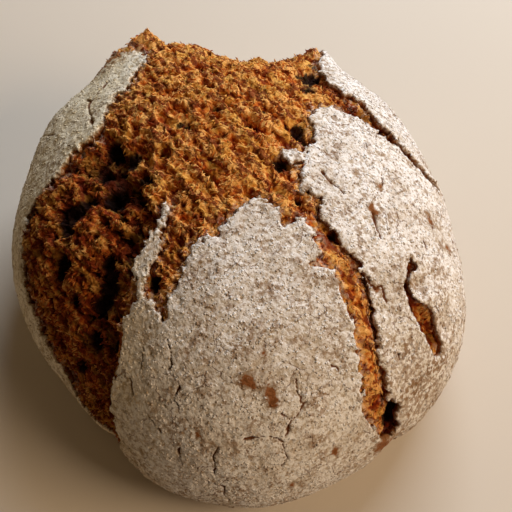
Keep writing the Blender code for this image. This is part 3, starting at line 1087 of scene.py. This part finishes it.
@dataclass(frozen=True)
class Scatter:
    """Small bits of one kind strewn over a surface: where, how many, and how they lie."""

    name: str
    per_area: float  # bits on each square millimetre
    shape: tuple[float, float, float]  # half length, half width and half thickness
    rings: int
    tilt: tuple[float, float]  # angle from the surface's normal, in degrees
    turn: float  # most turn from STRAND_WAY, in degrees
    scale: tuple[float, float]
    relief: tuple[float, float]  # range of the value that sets a bit's colour
    lift: float  # how far its middle lies above the surface
    bend: float
    from_relief: tuple[float, float]  # the surface's relief where bits begin, and where all lie
    seed: int

    def sown(self, tree: ShapeTree) -> Any:
        """Points on the surface, thick where it is held and sown and its relief is high.

        Args:
            tree: The tree.

        Returns:
            The node that gives them.
        """
        hold, sow, relief = (
            tree.node("GeometryNodeInputNamedAttribute", Name=name) for name in ("hold", "sow", "relief")
        )
        low, high = self.from_relief
        tall = tree.node("MapRange", relief, low, high, 0, tree.size("Density"))
        kept = tree.node("Math MULTIPLY", hold, sow)
        density = tree.node("Math MULTIPLY", tall, kept)
        return tree.node(
            "GeometryNodeDistributePointsOnFaces", Mesh=tree.entry.outputs["Geometry"], Density=density,
            Seed=self.seed,
        )

    def strewn(self, tree: ShapeTree) -> Any:
        """A bit on each of those points, turned, tilted and sized at random.

        Args:
            tree: The tree.

        Returns:
            The node that gives the bits.
        """
        sown = self.sown(tree)
        bit = tree.node("GeometryNodeMeshUVSphere", Segments=4, Rings=self.rings, Radius=MM)
        upright = tree.node("FunctionNodeAlignRotationToVector", Vector=sown.outputs["Normal"], axis="Z")
        way = math.radians(STRAND_WAY)
        faced = tree.node(
            "FunctionNodeAlignRotationToVector", Rotation=upright,
            Vector=(math.sin(way), math.cos(way), 0.0), axis="Y", pivot_axis="Z",
        )
        low, high = (math.radians(t) for t in self.tilt)
        turn = math.radians(self.turn)
        chance = tree.node(
            "FunctionNodeRandomValue", (low, -0.5, -turn), (high, 0.5, turn), Seed=self.seed,
            data_type="FLOAT_VECTOR",
        )
        rotation = tree.node("FunctionNodeRotateRotation", faced, chance, rotation_space="LOCAL")
        size, tone = (
            tree.node("FunctionNodeRandomValue", None, None, least, most, Seed=seed).outputs[1]
            for (least, most), seed in ((self.scale, self.seed + 1), (self.relief, self.seed + 2))
        )
        form = tree.node(
            "CombineXYZ", tree.size("Half Width"), tree.size("Half Thickness"), tree.size("Half Length")
        )
        scaled = tree.node("VectorMath SCALE", form, Scale=size)
        bits = tree.node(
            "GeometryNodeInstanceOnPoints", Points=sown, Instance=bit, Rotation=rotation, Scale=scaled
        )
        return tree.node(
            "GeometryNodeStoreNamedAttribute", Geometry=bits, Name="relief", Value=tone, data_type="FLOAT",
            domain="INSTANCE",
        )

    def tree(self) -> ShapeTree:
        """Builds the tree that turns the surface into the bits, bent and raised, with a map for baking."""
        tree = ShapeTree(self.name, {
            "Density": self.per_area / MM**2, "Half Length": self.shape[0], "Half Width": self.shape[1],
            "Half Thickness": self.shape[2], "Height": self.lift, "Bend": self.bend,
        })
        real = tree.node("GeometryNodeRealizeInstances", self.strewn(tree))
        curled = tree.drift(tree.place(), 1.7, 1.0, tree.size("Bend"))
        out = tree.node("GeometryNodeInputNamedAttribute", Name="out", data_type="FLOAT_VECTOR")
        raised = tree.node("VectorMath SCALE", out, Scale=tree.size("Height"))
        both = tree.node("VectorMath ADD", curled, raised)
        move = tree.node("VectorMath SCALE", both, Scale=MM)
        moved = tree.node("GeometryNodeSetPosition", Geometry=real, Offset=move)
        flat = tree.node(
            "VectorMath MULTIPLY_ADD", tree.node("GeometryNodeInputPosition"), (4.0, 4.0, 0.0),
            (0.5, 0.5, 0.0),
        )
        mapped = tree.node(
            "GeometryNodeStoreNamedAttribute", Geometry=moved, Name="OFBake", Value=flat,
            data_type="FLOAT2", domain="CORNER",
        )
        tree.close(tree.node("GeometryNodeSetShadeSmooth", Geometry=mapped))
        return tree

    def strew(self, pieces: list[bpy.types.Object], material: bpy.types.Material) -> bpy.types.Object:
        """Strews the bits over finished pieces.

        Args:
            pieces: The pieces, which stay as they are.
            material: The bits' finish.

        Returns:
            One object with all the bits.
        """
        copies = [placed(self.name, piece.data.copy()) for piece in pieces]
        whole = copies[0]
        if len(copies) > 1:
            with bpy.context.temp_override(
                object=whole, active_object=whole, selected_objects=copies, selected_editable_objects=copies
            ):
                bpy.ops.object.join()
        whole.data.materials.clear()
        return self.tree().run(whole, material)


FLOUR_CLUMPS = Scatter(
    "flour_clumps", per_area=0.34, shape=(0.8, 0.7, 0.24), rings=2, tilt=(78, 102), turn=180,
    scale=(0.4, 1.1), relief=(-0.8, 0.8), lift=0.0, bend=0.7, from_relief=(-0.6, 0.0), seed=5,
)
TORN_SHREDS = Scatter(
    "torn_shreds", per_area=0.44, shape=(1.45, 0.28, 0.24), rings=3, tilt=(55, 95), turn=50,
    scale=(0.6, 1.6), relief=(0.4, 4.8), lift=0.1, bend=1.8, from_relief=(1.2, 3.4), seed=9,
)


@dataclass
class Crust:
    """The floured crust: four quarters that the slashes and the oven tore apart, and the islands left."""

    dome: Dome
    tears: Tears
    spacing: float = 0.6
    thickness: float = 4.0
    tucked: float = 3.0  # map distance that the crust carries on under the base
    lip_rise: float = 0.5
    lip_reach: float = 9.0
    roll: float = 0.5
    roll_reach: float = 1.2
    # Depth and outward shift of the broken edge's rows.
    wall: tuple[Span, ...] = ((0.7, 0.1), (1.5, 0.0), (2.6, -0.5), (4.0, -1.4))
    wall_plan: float = 0.4  # map distance that the bake gives each millimetre of the wall
    wall_lean: float = 0.3  # share of the surface's normal in the way that the wall's relief goes
    still_rim: Span = (2, 14)  # map distance from the base's edge where the relief starts, and is whole
    least_height: float = 0.05
    cracks_by_width: tuple[tuple[float, tuple[Line, ...]], ...] = ((0.5, FISSURES), (1.0, WIDE_FISSURES))
    crack_wander: tuple[tuple[Ripple, Ripple], ...] = (
        (Ripple(4.0, 1.5, 21), Ripple(1.5, 0.6, 24)),
        (Ripple(4.0, 1.5, 22), Ripple(1.5, 0.6, 25)),
    )
    crack_swell: Ripple = Ripple(3.0, 0.6, 23)
    crack_floor: float = 0.2  # share of a crack's width that is as deep as it gets
    island_reach: float = 2.2  # how far round an island its plate reaches
    lining_spacing: float = 7.0
    rounds: int = 6

    def field(self, u: Array, v: Array) -> Array:
        """About the distance to the crust's edge, positive in the crust."""
        return np.minimum(self.tears.ragged(u, v), self.dome.rim + self.tucked - np.hypot(u, v))

    def cracks(self, u: Array, v: Array) -> Array:
        """Depth of the narrow cracks, from 0 to 1."""
        bent = [
            place + wide.at(u, v) + fine.at(u, v) for place, (wide, fine) in zip((u, v), self.crack_wander)
        ]
        gap = np.min([
            Outline(line, closed=False).gap(*bent)[0] / width
            for width, lines in self.cracks_by_width for line in lines
        ], axis=0)
        width = 1 + self.crack_swell.at(u, v)
        return smooth_step(width, self.crack_floor * width, gap)

    def row(self, patch: Patch, out: Array, edge: Array, depth: float, shift: float) -> Sheet:
        """Points of the crust at some depth below its surface.

        Args:
            patch: Their net.
            out: The direction on the map that leads out over the net's rim.
            edge: Their distance to the crust's edge.
            depth: Depth below the surface.
            shift: How far they lie out over the rim.

        Returns:
            The points with their values.
        """
        u, v = patch.u, patch.v
        start, whole = (self.dome.rim - reach for reach in self.still_rim)
        hold = smooth_step(start, whole, np.hypot(u, v))
        inner = np.clip(edge, 0, None)
        lip = self.lip_rise * smooth_step(self.lip_reach, 0, inner)
        roll = self.roll * smooth_step(self.roll_reach, 0, inner)
        offset = self.dome.swell(u, v) + (lip - roll) * hold - depth
        normal = self.dome.normal(u, v)
        at = self.dome.point(u + shift * out[:, 0], v + shift * out[:, 1]) + normal * offset[:, None]
        at[:, 2] = np.clip(at[:, 2], self.least_height, None)
        sideways = self.dome.point(u + out[:, 0], v + out[:, 1]) - self.dome.point(u, v)
        cracks, bare = self.cracks(u, v), self.bareness(u, v)
        return Sheet(
            at=at,
            out=normal if depth == 0 else self.wall_lean * normal + sideways,
            plan=patch.plan() + out * depth * self.wall_plan,
            hold=hold * (depth < self.thickness),
            edge=inner if depth == 0 else np.full(len(u), -depth),
            fissure=cracks * (depth == 0),
            bare=bare,
            level=offset,
            sow=(1 - bare) * (1 - cracks) * (depth < 1),
        )

    def bareness(self, u: Array, v: Array) -> Array:
        """How far the flour is off, from 0 to 1."""
        return np.clip(sum(spot.height(u, v) for spot in BARE_SPOTS), 0, 1)

    def owners(self, patch: Patch) -> Array:
        """Which plate each triangle belongs to, as its place in Plate."""
        u, v = patch.u[patch.faces].mean(1), patch.v[patch.faces].mean(1)
        order = list(Plate)
        owner = np.full(len(u), order.index(Plate.LEFT))
        for plate, line in (
            (Plate.FRONT, FRONT_QUARTER), (Plate.RIGHT, RIGHT_QUARTER), (Plate.REAR, REAR_QUARTER)
        ):
            owner[Outline(line).holds(u, v)] = order.index(plate)
        for island in self.tears.islands:
            owner[island.depth(u, v) > -self.island_reach] = order.index(Plate.ISLANDS)
        for _ in range(self.rounds):  # a point where a plate pinches is given to it with all its triangles
            for number in range(len(order)):
                rims = Patch(patch.u, patch.v, patch.faces[owner == number]).rims()
                pinched = np.bincount(rims[:, 0], minlength=len(patch.u)) > 1
                owner[pinched[patch.faces].any(axis=1)] = number
        return owner

    def build(self, material: bpy.types.Material) -> list[bpy.types.Object]:
        """Makes and dresses the pieces.

        Args:
            material: The crust's finish.

        Returns:
            One object for each plate.
        """
        patch = Net(self.spacing, self.dome.rim + self.tucked).lay(self.field)
        owner = self.owners(patch)
        relief = crust_relief()
        pieces = []
        for number, plate in enumerate(Plate):
            part = patch.only(owner == number)
            back, to_back = lining(part, self.lining_spacing)
            out, edge = outward(part), self.tears.ragged(part.u, part.v)
            rows = [self.row(part, 0 * out, edge, 0, 0)]
            rows += [self.row(part, out, edge, depth, shift) for depth, shift in self.wall[:-1]]
            rows.append(self.row(back, outward(back), self.tears.ragged(back.u, back.v), *self.wall[-1]))
            blank = mesh_object(plate.value, *close_shell(part, rows, back, to_back))
            pieces.append(relief.run(blank, material))
        return pieces


@dataclass
class Crumb:
    """The torn crumb in the openings, on the loaf's inner body, which fills the space under the crust."""

    dome: Dome
    tears: Tears
    spacing: float = 0.6
    margin: float = 4.0  # how far the rough surface runs on under the crust
    still_rim: float = 0.8  # width of its rim that has no relief
    whole_from: float = 0.5  # distance into the crust where the relief is whole
    slash_calm: float = 0.5  # how much flatter the crumb is in the slash
    slash_u: Span = (20, 30)  # where the slash starts, to the right and to the front
    slash_v: Span = (-12, -30)
    sown: Span = (0.5, -0.5)  # distance into the crust where shreds start, and where all lie
    hollow_clear: float = 0.9  # share of them that a hollow is without
    brown_step: Span = (-3, 14)  # the crumb darker past the step and round the rear crack: partly baked browner, partly painted shade
    brown_crack: Span = (11, 4)
    reach: float = 10.0  # map distance from the base's edge that the openings keep
    rim_points: int = 240
    body_spacing: float = 9.0

    def field(self, u: Array, v: Array) -> Array:
        """About the distance to the rough surface's rim, positive in it."""
        return self.margin - self.tears.into_crust(u, v)

    def points(self, u: Array, v: Array) -> Sheet:
        """Points of the inner body's skin."""
        edge = self.tears.into_crust(u, v)
        level = self.tears.crumb_level(u, v, edge) + self.dome.swell(u, v)
        normal = self.dome.normal(u, v)
        at = self.dome.point(u, v) + normal * level[:, None]
        flatter = 1 - self.slash_calm * smooth_step(*self.slash_u, u) * smooth_step(*self.slash_v, v)
        hold = smooth_step(self.margin - self.still_rim, self.whole_from, edge) * flatter
        hollow = self.tears.hollows(u, v)
        sow = smooth_step(*self.sown, edge) * (1 - self.hollow_clear * hollow) / flatter
        step = smooth_step(*self.brown_step, self.tears.beyond_step(u, v))
        browned_and_shaded = np.maximum(step, smooth_step(*self.brown_crack, self.tears.crack.gap(u, v)[0]))
        return Sheet(at, normal, np.stack([u, v], 1), hold, edge, hollow, browned_and_shaded, level, sow)

    def build(self, material: bpy.types.Material) -> bpy.types.Object:
        """Makes and dresses the piece.

        Args:
            material: The crumb's finish.

        Returns:
            The object.
        """
        rim = self.dome.rim
        patch = Net(self.spacing, rim - self.reach).lay(self.field)
        rims = patch.rims()
        start, end = patch.plan()[rims].transpose(1, 0, 2)
        ring, inner = np.unique(rims, return_inverse=True)
        turn = 2 * np.pi * np.arange(self.rim_points) / self.rim_points
        circle = np.stack([rim * np.cos(turn), rim * np.sin(turn)], 1)
        line = np.arange(-rim, rim, self.body_spacing)
        grid = np.stack([g.ravel() for g in np.meshgrid(line, line)], 1)
        grid = grid[np.hypot(*grid.T) < rim - self.body_spacing / 2]
        grid = grid[self.field(*grid.T) < -self.body_spacing / 3]
        around = len(ring) + np.arange(self.rim_points)
        bounds = np.concatenate([inner.reshape(-1, 2), np.stack([around, np.roll(around, -1)], 1)])
        corners, body, number = spanned(np.concatenate([patch.plan()[ring], circle, grid]), bounds)
        body = body[~enclosed(*corners[body].mean(1).T, start, end)]
        shared = np.arange(len(corners)) + len(patch.u)
        shared[number[: len(ring)]] = ring
        base = number[around] + len(patch.u)
        cap = np.stack([np.roll(base, -1), base, np.full(self.rim_points, len(patch.u) + len(corners))], 1)
        skin = self.points(*np.concatenate([patch.plan(), corners]).T)
        below = self.points(np.zeros(1), np.zeros(1))
        below.at[:] = (0, 0, self.tears.body_depth)
        below.hold[:] = 0
        every = np.concatenate([patch.faces, shared[body], cap])
        used, faces = np.unique(every, return_inverse=True)
        faces = faces.reshape(-1, 3)
        hidden = np.arange(len(faces)) >= len(patch.faces)
        blank = mesh_object("torn_crumb", joined([skin, below]).only(used), faces, hidden)
        return crumb_relief().run(blank, material)


@dataclass
class Base:
    """The underside: a baked sole that the crust tucks in round."""

    dome: Dome
    radius: float = 79.0
    spacing: float = 1.6
    thickness: float = 3.4
    lift: float = 0.45
    unevenness: float = 0.3
    ripples: tuple[Ripple, ...] = (Ripple(9, 1.0, 31), Ripple(3.5, 0.5, 32))
    lining_spacing: float = 12.0

    def rows(self, net: Patch, height: float) -> Sheet:
        """Points of the sole at some height over the floor.

        Args:
            net: Their net, seen from below, so that its v runs to the front.
            height: Their mean height.

        Returns:
            The points.
        """
        stretch = self.dome.girth(np.arctan2(-net.v, net.u)) / self.dome.mean_radius
        z = height + self.unevenness * sum(ripple.at(net.u, net.v) for ripple in self.ripples)
        centre_u, centre_v = self.dome.centre
        at = np.stack([net.u * stretch - centre_u, -net.v * stretch - centre_v, z], 1)
        return Sheet(at, at * 0, net.plan(), *[np.zeros(len(net.u))] * 6)

    def build(self, material: bpy.types.Material) -> bpy.types.Object:
        """Makes and dresses the piece.

        Args:
            material: The sole's finish.

        Returns:
            The object.
        """
        patch = Net(self.spacing, self.radius).lay(lambda u, v: self.radius - np.hypot(u, v))
        back, to_back = lining(patch, self.lining_spacing)
        rows = [self.rows(patch, self.lift), self.rows(back, self.lift + self.thickness)]
        sole = mesh_object("baked_sole", *close_shell(patch, rows, back, to_back))
        sole.data.materials.append(material)
        return sole


class Coat:
    """A material in the making: its tree, its shader and the colour laid so far."""

    def __init__(self, name: str, base: str, **constants: float) -> None:
        """Starts the material.

        Args:
            name: Its name.
            base: Hex code of its first colour.
            constants: Values for the shader's sockets, with _ for a space.
        """
        self.material = bpy.data.materials.new(name)
        self.material.use_nodes = True
        self.tree = self.material.node_tree
        self.shader = self.tree.nodes["Principled BSDF"]
        for key, value in constants.items():
            self.shader.inputs[key.replace("_", " ")].default_value = value
        self.colour: Any = linear(base)
        self.shader.inputs["Base Color"].default_value = self.colour

    def node(self, kind: str, *inputs: Any, **named: Any) -> Any:
        """Adds a node to the material."""
        return add(self.tree, kind, *inputs, **named)

    @cached_property
    def place(self) -> Any:
        """Place on the piece, in millimetres."""
        return self.node("VectorMath SCALE", self.node("TexCoord").outputs["Object"], Scale=1 / MM)

    def patches(self, size: float, low: float, high: float, detail: float = 3.0, where: Any = None) -> Any:
        """Noise made into patches.

        Args:
            size: Size of the noise's lumps, in millimetres.
            low: Where the noise gives 0.
            high: Where it gives 1.
            detail: How many finer layers it has.
            where: Place that it is read at, where it isn't the place on the piece.

        Returns:
            The node that gives the patches' strength.
        """
        where = where or self.place
        noise = self.node("TexNoise", Vector=where, Scale=1 / size, Detail=detail, Roughness=0.6)
        return self.node("MapRange", noise, low, high, interpolation_type="SMOOTHSTEP")

    def lay(
        self, over: str, where: Any, strength: float = 1.0, low: float = 0.0, high: float = 1.0
    ) -> None:
        """Lays a colour over the others where a value is high.

        Args:
            over: Hex code of the colour.
            where: The value.
            strength: How strongly it covers there.
            low: Value at which it starts.
            high: Value at which it is as strong as it gets.
        """
        amount = self.node("MapRange", where, low, high, 0, strength, interpolation_type="SMOOTHSTEP")
        numbers_alone = [None] * 5  # the colours come behind the sockets for numbers and vectors
        mix = self.node("Mix", amount, *numbers_alone, self.colour, linear(over), data_type="RGBA")
        self.colour = mix.outputs[2]

    def done(self, height: Any = None, strength: float = 0.0, grain: float = 0.0) -> bpy.types.Material:
        """Ends the material.

        Args:
            height: Value that its finest relief follows, if it has one.
            strength: How strongly that relief shows.
            grain: Its height, in millimetres.

        Returns:
            The material.
        """
        self.tree.links.new(self.colour, self.shader.inputs["Base Color"])
        if height is not None:
            relieved = self.node("Bump", Strength=strength, Distance=grain * MM, Height=height)
            self.tree.links.new(relieved.outputs[0], self.shader.inputs["Normal"])
        return self.material


@dataclass(frozen=True)
class FlouredCrust:
    """Rye flour dusted on a toasted crust: matt and grainy, brown where it broke or where it is thin.

    The flour was rubbed on the raw loaf, so it cracked with the crust, and the toasted dough shows in
    every crack and pit. Its grain is 0.1 to 0.3 mm, drawn at about 1 mm to show at all.
    """

    light: str = "#F6F2EC"
    shade: str = "#C8B8A2"
    thin: str = "#8F6D48"
    toasted: str = "#6E4524"
    crack: str = "#6B3B1E"
    broken: str = "#9A5A26"
    bran: str = "#5C3F26"
    # painted warm light, laid over the left side
    left_light_tint: str = "#E8D4A4"
    bare: str = "#8E5830"
    bump: float = 0.5
    grain: float = 0.6

    def flour(self, coat: Coat, relief: Any, grain: Any, speckle: Any) -> None:
        """Lays the flour: light on its clumps, thin where it is worn and in hollows, browner low on the
        loaf in patches, and painted warm light on the left side.

        Args:
            coat: The material.
            relief: The surface's relief.
            grain: Where the flour's grains are thick.
            speckle: Where it is speckled.
        """
        x, _, z = coat.node("SeparateXYZ", coat.place).outputs
        coat.lay(self.light, coat.node("Math MULTIPLY_ADD", relief, 0.6, grain), 1.0, -0.2, 0.8)
        coat.lay(self.shade, coat.patches(16, 0.42, 0.72), 0.45)
        coat.lay(self.thin, coat.node("Math MULTIPLY", coat.patches(9, 0.46, 0.62, 5.0), speckle), 0.7)
        coat.lay(self.thin, coat.patches(1.3, 0.56, 0.7, 1.0), 0.5)
        # browner towards the base, in patches
        low = coat.node("MapRange", z, 78.0, 8.0, 0, 0.6)
        coat.lay(self.thin, coat.node("Math MULTIPLY", low, coat.patches(3.5, 0.3, 0.66, 4.0)))
        coat.lay(self.thin, relief, 0.75, -0.25, -0.95)
        coat.lay(self.left_light_tint, x, 0.6, -15.0, -62.0)  # yellower on the left: painted warm light on the left side

    def flecks(self, coat: Coat) -> None:
        """Strews flecks of bran, one in some cells of a pattern about 2 mm wide."""
        cells = coat.node("TexVoronoi", Vector=coat.place, Scale=1 / 1.9)
        chance = coat.node("SeparateColor", cells.outputs["Color"])
        near = coat.node("MapRange", cells.outputs["Distance"], 0.34, 0.16)
        coat.lay(self.bran, coat.node("Math MULTIPLY", chance, near), 0.8, 0.7, 0.92)

    def crazing(self, coat: Coat) -> Any:
        """Lays hair cracks where the crust crazed.

        Args:
            coat: The material.

        Returns:
            The node that says where they are.
        """
        warp = coat.node("TexNoise", Vector=coat.place, Scale=1 / 5, Detail=3.0)
        warped = coat.node("VectorMath MULTIPLY_ADD", warp.outputs["Color"], (5.0, 5.0, 5.0), coat.place)
        craze = coat.node("TexVoronoi", Vector=warped, Scale=1 / 11, feature="DISTANCE_TO_EDGE")
        thread = coat.node("MapRange", craze, 0.026, 0.006)
        hair = coat.node("Math MULTIPLY", thread, coat.patches(13, 0.5, 0.62))
        coat.lay(self.toasted, hair, 0.7)
        return hair

    def make(self) -> bpy.types.Material:
        """Builds the material."""
        coat = Coat("floured_crust", self.shade, Specular_IOR_Level=0.12, IOR=1.45)
        relief, edge, fissure, bare = (
            coat.node("Attribute", attribute_name=name).outputs["Fac"]
            for name in ("relief", "edge", "fissure", "bare")
        )
        grain = coat.patches(1.7, 0.34, 0.6)
        speckle = coat.patches(2.2, 0.42, 0.58, 2.0)
        self.flour(coat, relief, grain, speckle)
        self.flecks(coat)
        hair = self.crazing(coat)
        flecked = coat.node("Math MULTIPLY_ADD", speckle, 0.4, bare)
        coat.lay(self.thin, flecked, 0.75, 0.3, 0.8)
        coat.lay(self.bare, flecked, 0.95, 0.82, 1.0)
        coat.lay(self.toasted, flecked, 0.6, 1.15, 1.4)
        coat.lay(self.crack, fissure, 0.95, 0.15, 0.8)
        flaked = coat.node("Math MULTIPLY_ADD", grain, 1.6, edge)
        coat.lay(self.thin, flaked, 0.7, 1.2, 0.3)
        coat.lay(self.broken, flaked, 0.95, 0.1, -0.9)
        roughness = coat.node("MapRange", grain, 0, 1, 0.85, 1.0)
        coat.tree.links.new(roughness.outputs[0], coat.shader.inputs["Roughness"])
        powder = coat.node("TexNoise", Vector=coat.place, Scale=1 / 1.1, Detail=2.0)
        clumped = coat.node("Math MULTIPLY_ADD", grain, 0.45, powder)
        sunk = coat.node("Math MULTIPLY_ADD", hair, -0.8, clumped)
        return coat.done(sunk, self.bump, self.grain)


@dataclass(frozen=True)
class TornCrumb:
    """Wholemeal crumb that tore in the oven and toasted: tan strand tips, rust brown between, and painted
    shade that makes its pits dark.

    Low down in the valley painted shade makes the crumb darker and redder, and its holes nearly black.
    """

    tip: str = "#EDB264"
    strand: str = "#CE7226"
    toasted: str = "#A04012"
    hollow: str = "#4A1304"
    # painted shade: near black, for the pits and the small hollows
    pit: str = "#0F0402"
    # painted shade, laid where the crumb lies low in the valley
    valley: str = "#34190C"
    browned_and_shaded: str = "#6A3014"
    dust: str = "#E6CDB4"
    gold: str = "#DCA648"
    rust: str = "#742006"
    bump: float = 0.8
    grain: float = 0.8

    def toasting_and_shade(self, coat: Coat, height: Any) -> Any:
        """Colour by height, from the pits to the tips of the strands: the crumb's rust and tan tones, with
        painted shade that takes the low parts down to near black.

        Args:
            coat: The material.
            height: The height, with what darkens it taken off.

        Returns:
            The colour's socket.
        """
        ramp = coat.node("ValToRGB", coat.node("MapRange", height, 6.1, 14.9))
        stops = ramp.color_ramp.elements
        stops[0].position, stops[0].color = 0.12, linear(self.pit)
        stops[1].position, stops[1].color = 0.90, linear(self.tip)
        for position, code in ((0.28, self.hollow), (0.46, self.toasted), (0.68, self.strand)):
            stops.new(position).color = linear(code)
        return ramp.outputs[0]

    def make(self) -> bpy.types.Material:
        """Builds the material."""
        coat = Coat("torn_crumb", self.strand, Specular_IOR_Level=0.12, Roughness=0.9)
        relief, level, edge, browned_and_shaded, sunk = (
            coat.node("Attribute", attribute_name=name).outputs["Fac"]
            for name in ("relief", "level", "edge", "bare", "fissure")
        )
        turned = coat.node("VectorRotate", Vector=coat.place, Angle=math.radians(STRAND_WAY))
        drawn = coat.node("VectorMath MULTIPLY", turned, (STRAND_STRETCH, 1.0, 1.0))
        fine = coat.node("TexNoise", Vector=drawn, Scale=1 / 2.8, Detail=5.0, Roughness=0.75)
        broad = coat.node("TexNoise", Vector=coat.place, Scale=1 / 9, Detail=3.0)
        steep = coat.node("Math MULTIPLY", relief, 1.4)
        rough = coat.node("Math MULTIPLY_ADD", fine, 15.0, steep)
        height = coat.node("Math MULTIPLY_ADD", broad, 5.0, rough)
        # painted shade: the lower the crumb lies, the darker its tone
        valley = coat.node("MapRange", level, -2.5, -8.5, 0, -4.0)
        lowered = coat.node("Math ADD", height, valley)
        coat.colour = self.toasting_and_shade(coat, coat.node("Math MULTIPLY_ADD", browned_and_shaded, -1.8, lowered))
        coat.lay(self.gold, coat.patches(5.0, 0.48, 0.6, 4.0, drawn), 0.55)
        coat.lay(self.rust, coat.patches(3.4, 0.49, 0.58, 3.0, drawn), 0.85)
        # painted shade: dark brown laid low in the valley
        coat.lay(self.valley, level, 0.5, -3.0, -8.0)
        # partly painted shade: browner past the step and round the rear crack
        coat.lay(self.browned_and_shaded, browned_and_shaded, 0.3)
        # painted shade: near black in the small hollows
        coat.lay(self.pit, sunk, 0.95, 0.2, 1.0)
        near = coat.node("MapRange", edge, -5.0, -0.5)
        high = coat.node("MapRange", level, -4.5, -2.5)
        dusted = coat.node("Math MULTIPLY", near, high)
        coat.lay(self.dust, coat.node("Math MULTIPLY", dusted, coat.patches(2.0, 0.42, 0.62)), 0.7)
        return coat.done(fine, self.bump, self.grain)


@dataclass(frozen=True)
class BakedSole:
    """Sole of the loaf, baked dry on the oven's stone: brown, with flour in its hollows."""

    baked: str = "#7A5232"
    flour: str = "#BFAA8C"

    def make(self) -> bpy.types.Material:
        """Builds the material."""
        coat = Coat("baked_sole", self.baked, Roughness=0.9)
        coat.lay(self.flour, coat.patches(7, 0.4, 0.65, 6.0))
        return coat.done()


@dataclass(frozen=True)
class Lamp:
    """A square lamp that faces the loaf."""

    name: str
    azimuth: float  # degrees, anticlockwise from the right
    elevation: float  # degrees
    side: float  # metres
    power: float  # watts
    tint: str

    def hang(self) -> None:
        """Makes the lamp, a metre from a point near the loaf's middle."""
        a, e = math.radians(self.azimuth), math.radians(self.elevation)
        way = Vector((math.cos(a) * math.cos(e), math.sin(a) * math.cos(e), math.sin(e)))
        light = bpy.data.lights.new(self.name, "AREA")
        light.size, light.energy, light.color = self.side, self.power, linear(self.tint)[:3]
        obj = placed(self.name, light)
        obj.location = way + Vector((0, 0, 0.04))
        obj.rotation_euler = way.to_track_quat("Z", "Y").to_euler()


@dataclass
class Studio:
    """Pale floor of card, a cool lamp behind on the right, warm ones in front and on the left, a camera."""

    target: tuple[float, float, float] = (9.3, -0.6, 44.8)
    distance: float = 480.0
    elevation: float = 57.0
    lens: float = 73.97
    floor_side: float = 6.0
    card: str = "#D8CDBC"
    lamps: tuple[Lamp, ...] = (
        Lamp("key", 65, 37, 0.7, 11.2, "#E8F1FF"),
        Lamp("fill", 335, 39, 0.45, 5.6, "#FFE2C0"),
        Lamp("left", 155, 40, 0.6, 0.6, "#FFE4B8"),
    )
    air: str = "#FFCE9E"
    air_strength: float = 0.045

    def camera(self) -> None:
        """Makes the camera, which looks down on the loaf from the front."""
        turn = math.radians(self.elevation)
        back = Vector((0, -math.cos(turn), math.sin(turn)))
        camera = bpy.data.cameras.new("camera")
        camera.lens, camera.sensor_width = self.lens, 36.0
        camera.clip_start = 0.01
        obj = placed("camera", camera)
        obj.location = (Vector(self.target) + back * self.distance) * MM
        obj.rotation_euler = back.to_track_quat("Z", "Y").to_euler()
        bpy.context.scene.camera = obj

    def floor(self) -> None:
        """Makes the floor."""
        half = self.floor_side / 2
        corners = [(-half, -half, 0), (half, -half, 0), (half, half, 0), (-half, half, 0)]
        mesh = bpy.data.meshes.new("floor")
        mesh.from_pydata(corners, [], [(0, 1, 2, 3)])
        mesh.materials.append(Coat("matt_card", self.card, Roughness=0.9).material)
        placed("floor", mesh)

    def build(self) -> None:
        """Makes the whole studio."""
        self.floor()
        self.camera()
        for lamp in self.lamps:
            lamp.hang()
        world = bpy.data.worlds.new("studio")
        world.use_nodes = True
        background = world.node_tree.nodes["Background"]
        background.inputs["Color"].default_value = linear(self.air)
        background.inputs["Strength"].default_value = self.air_strength
        bpy.context.scene.world = world
        bpy.context.scene.view_settings.view_transform = "Standard"


def main() -> None:
    """Builds the loaf's pieces, attaches them to the frame and sets the studio up."""
    logging.basicConfig(level=logging.INFO, format="%(name)s %(message)s")
    dome, tears = Dome(), Tears()
    Studio().build()
    floured, torn = FlouredCrust().make(), TornCrumb().make()
    plates = Crust(dome, tears).build(floured)
    crumb = Crumb(dome, tears).build(torn)
    clumps, shreds = FLOUR_CLUMPS.strew(plates, floured), TORN_SHREDS.strew([crumb], torn)
    pieces = [*plates, crumb, clumps, shreds, Base(dome).build(BakedSole().make())]
    for piece in pieces:
        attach(piece, BODY)
        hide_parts(NODE)
        LOG.info("%s: %d triangles", piece.name, len(piece.data.polygons))


if __name__ == "__main__":
    main()
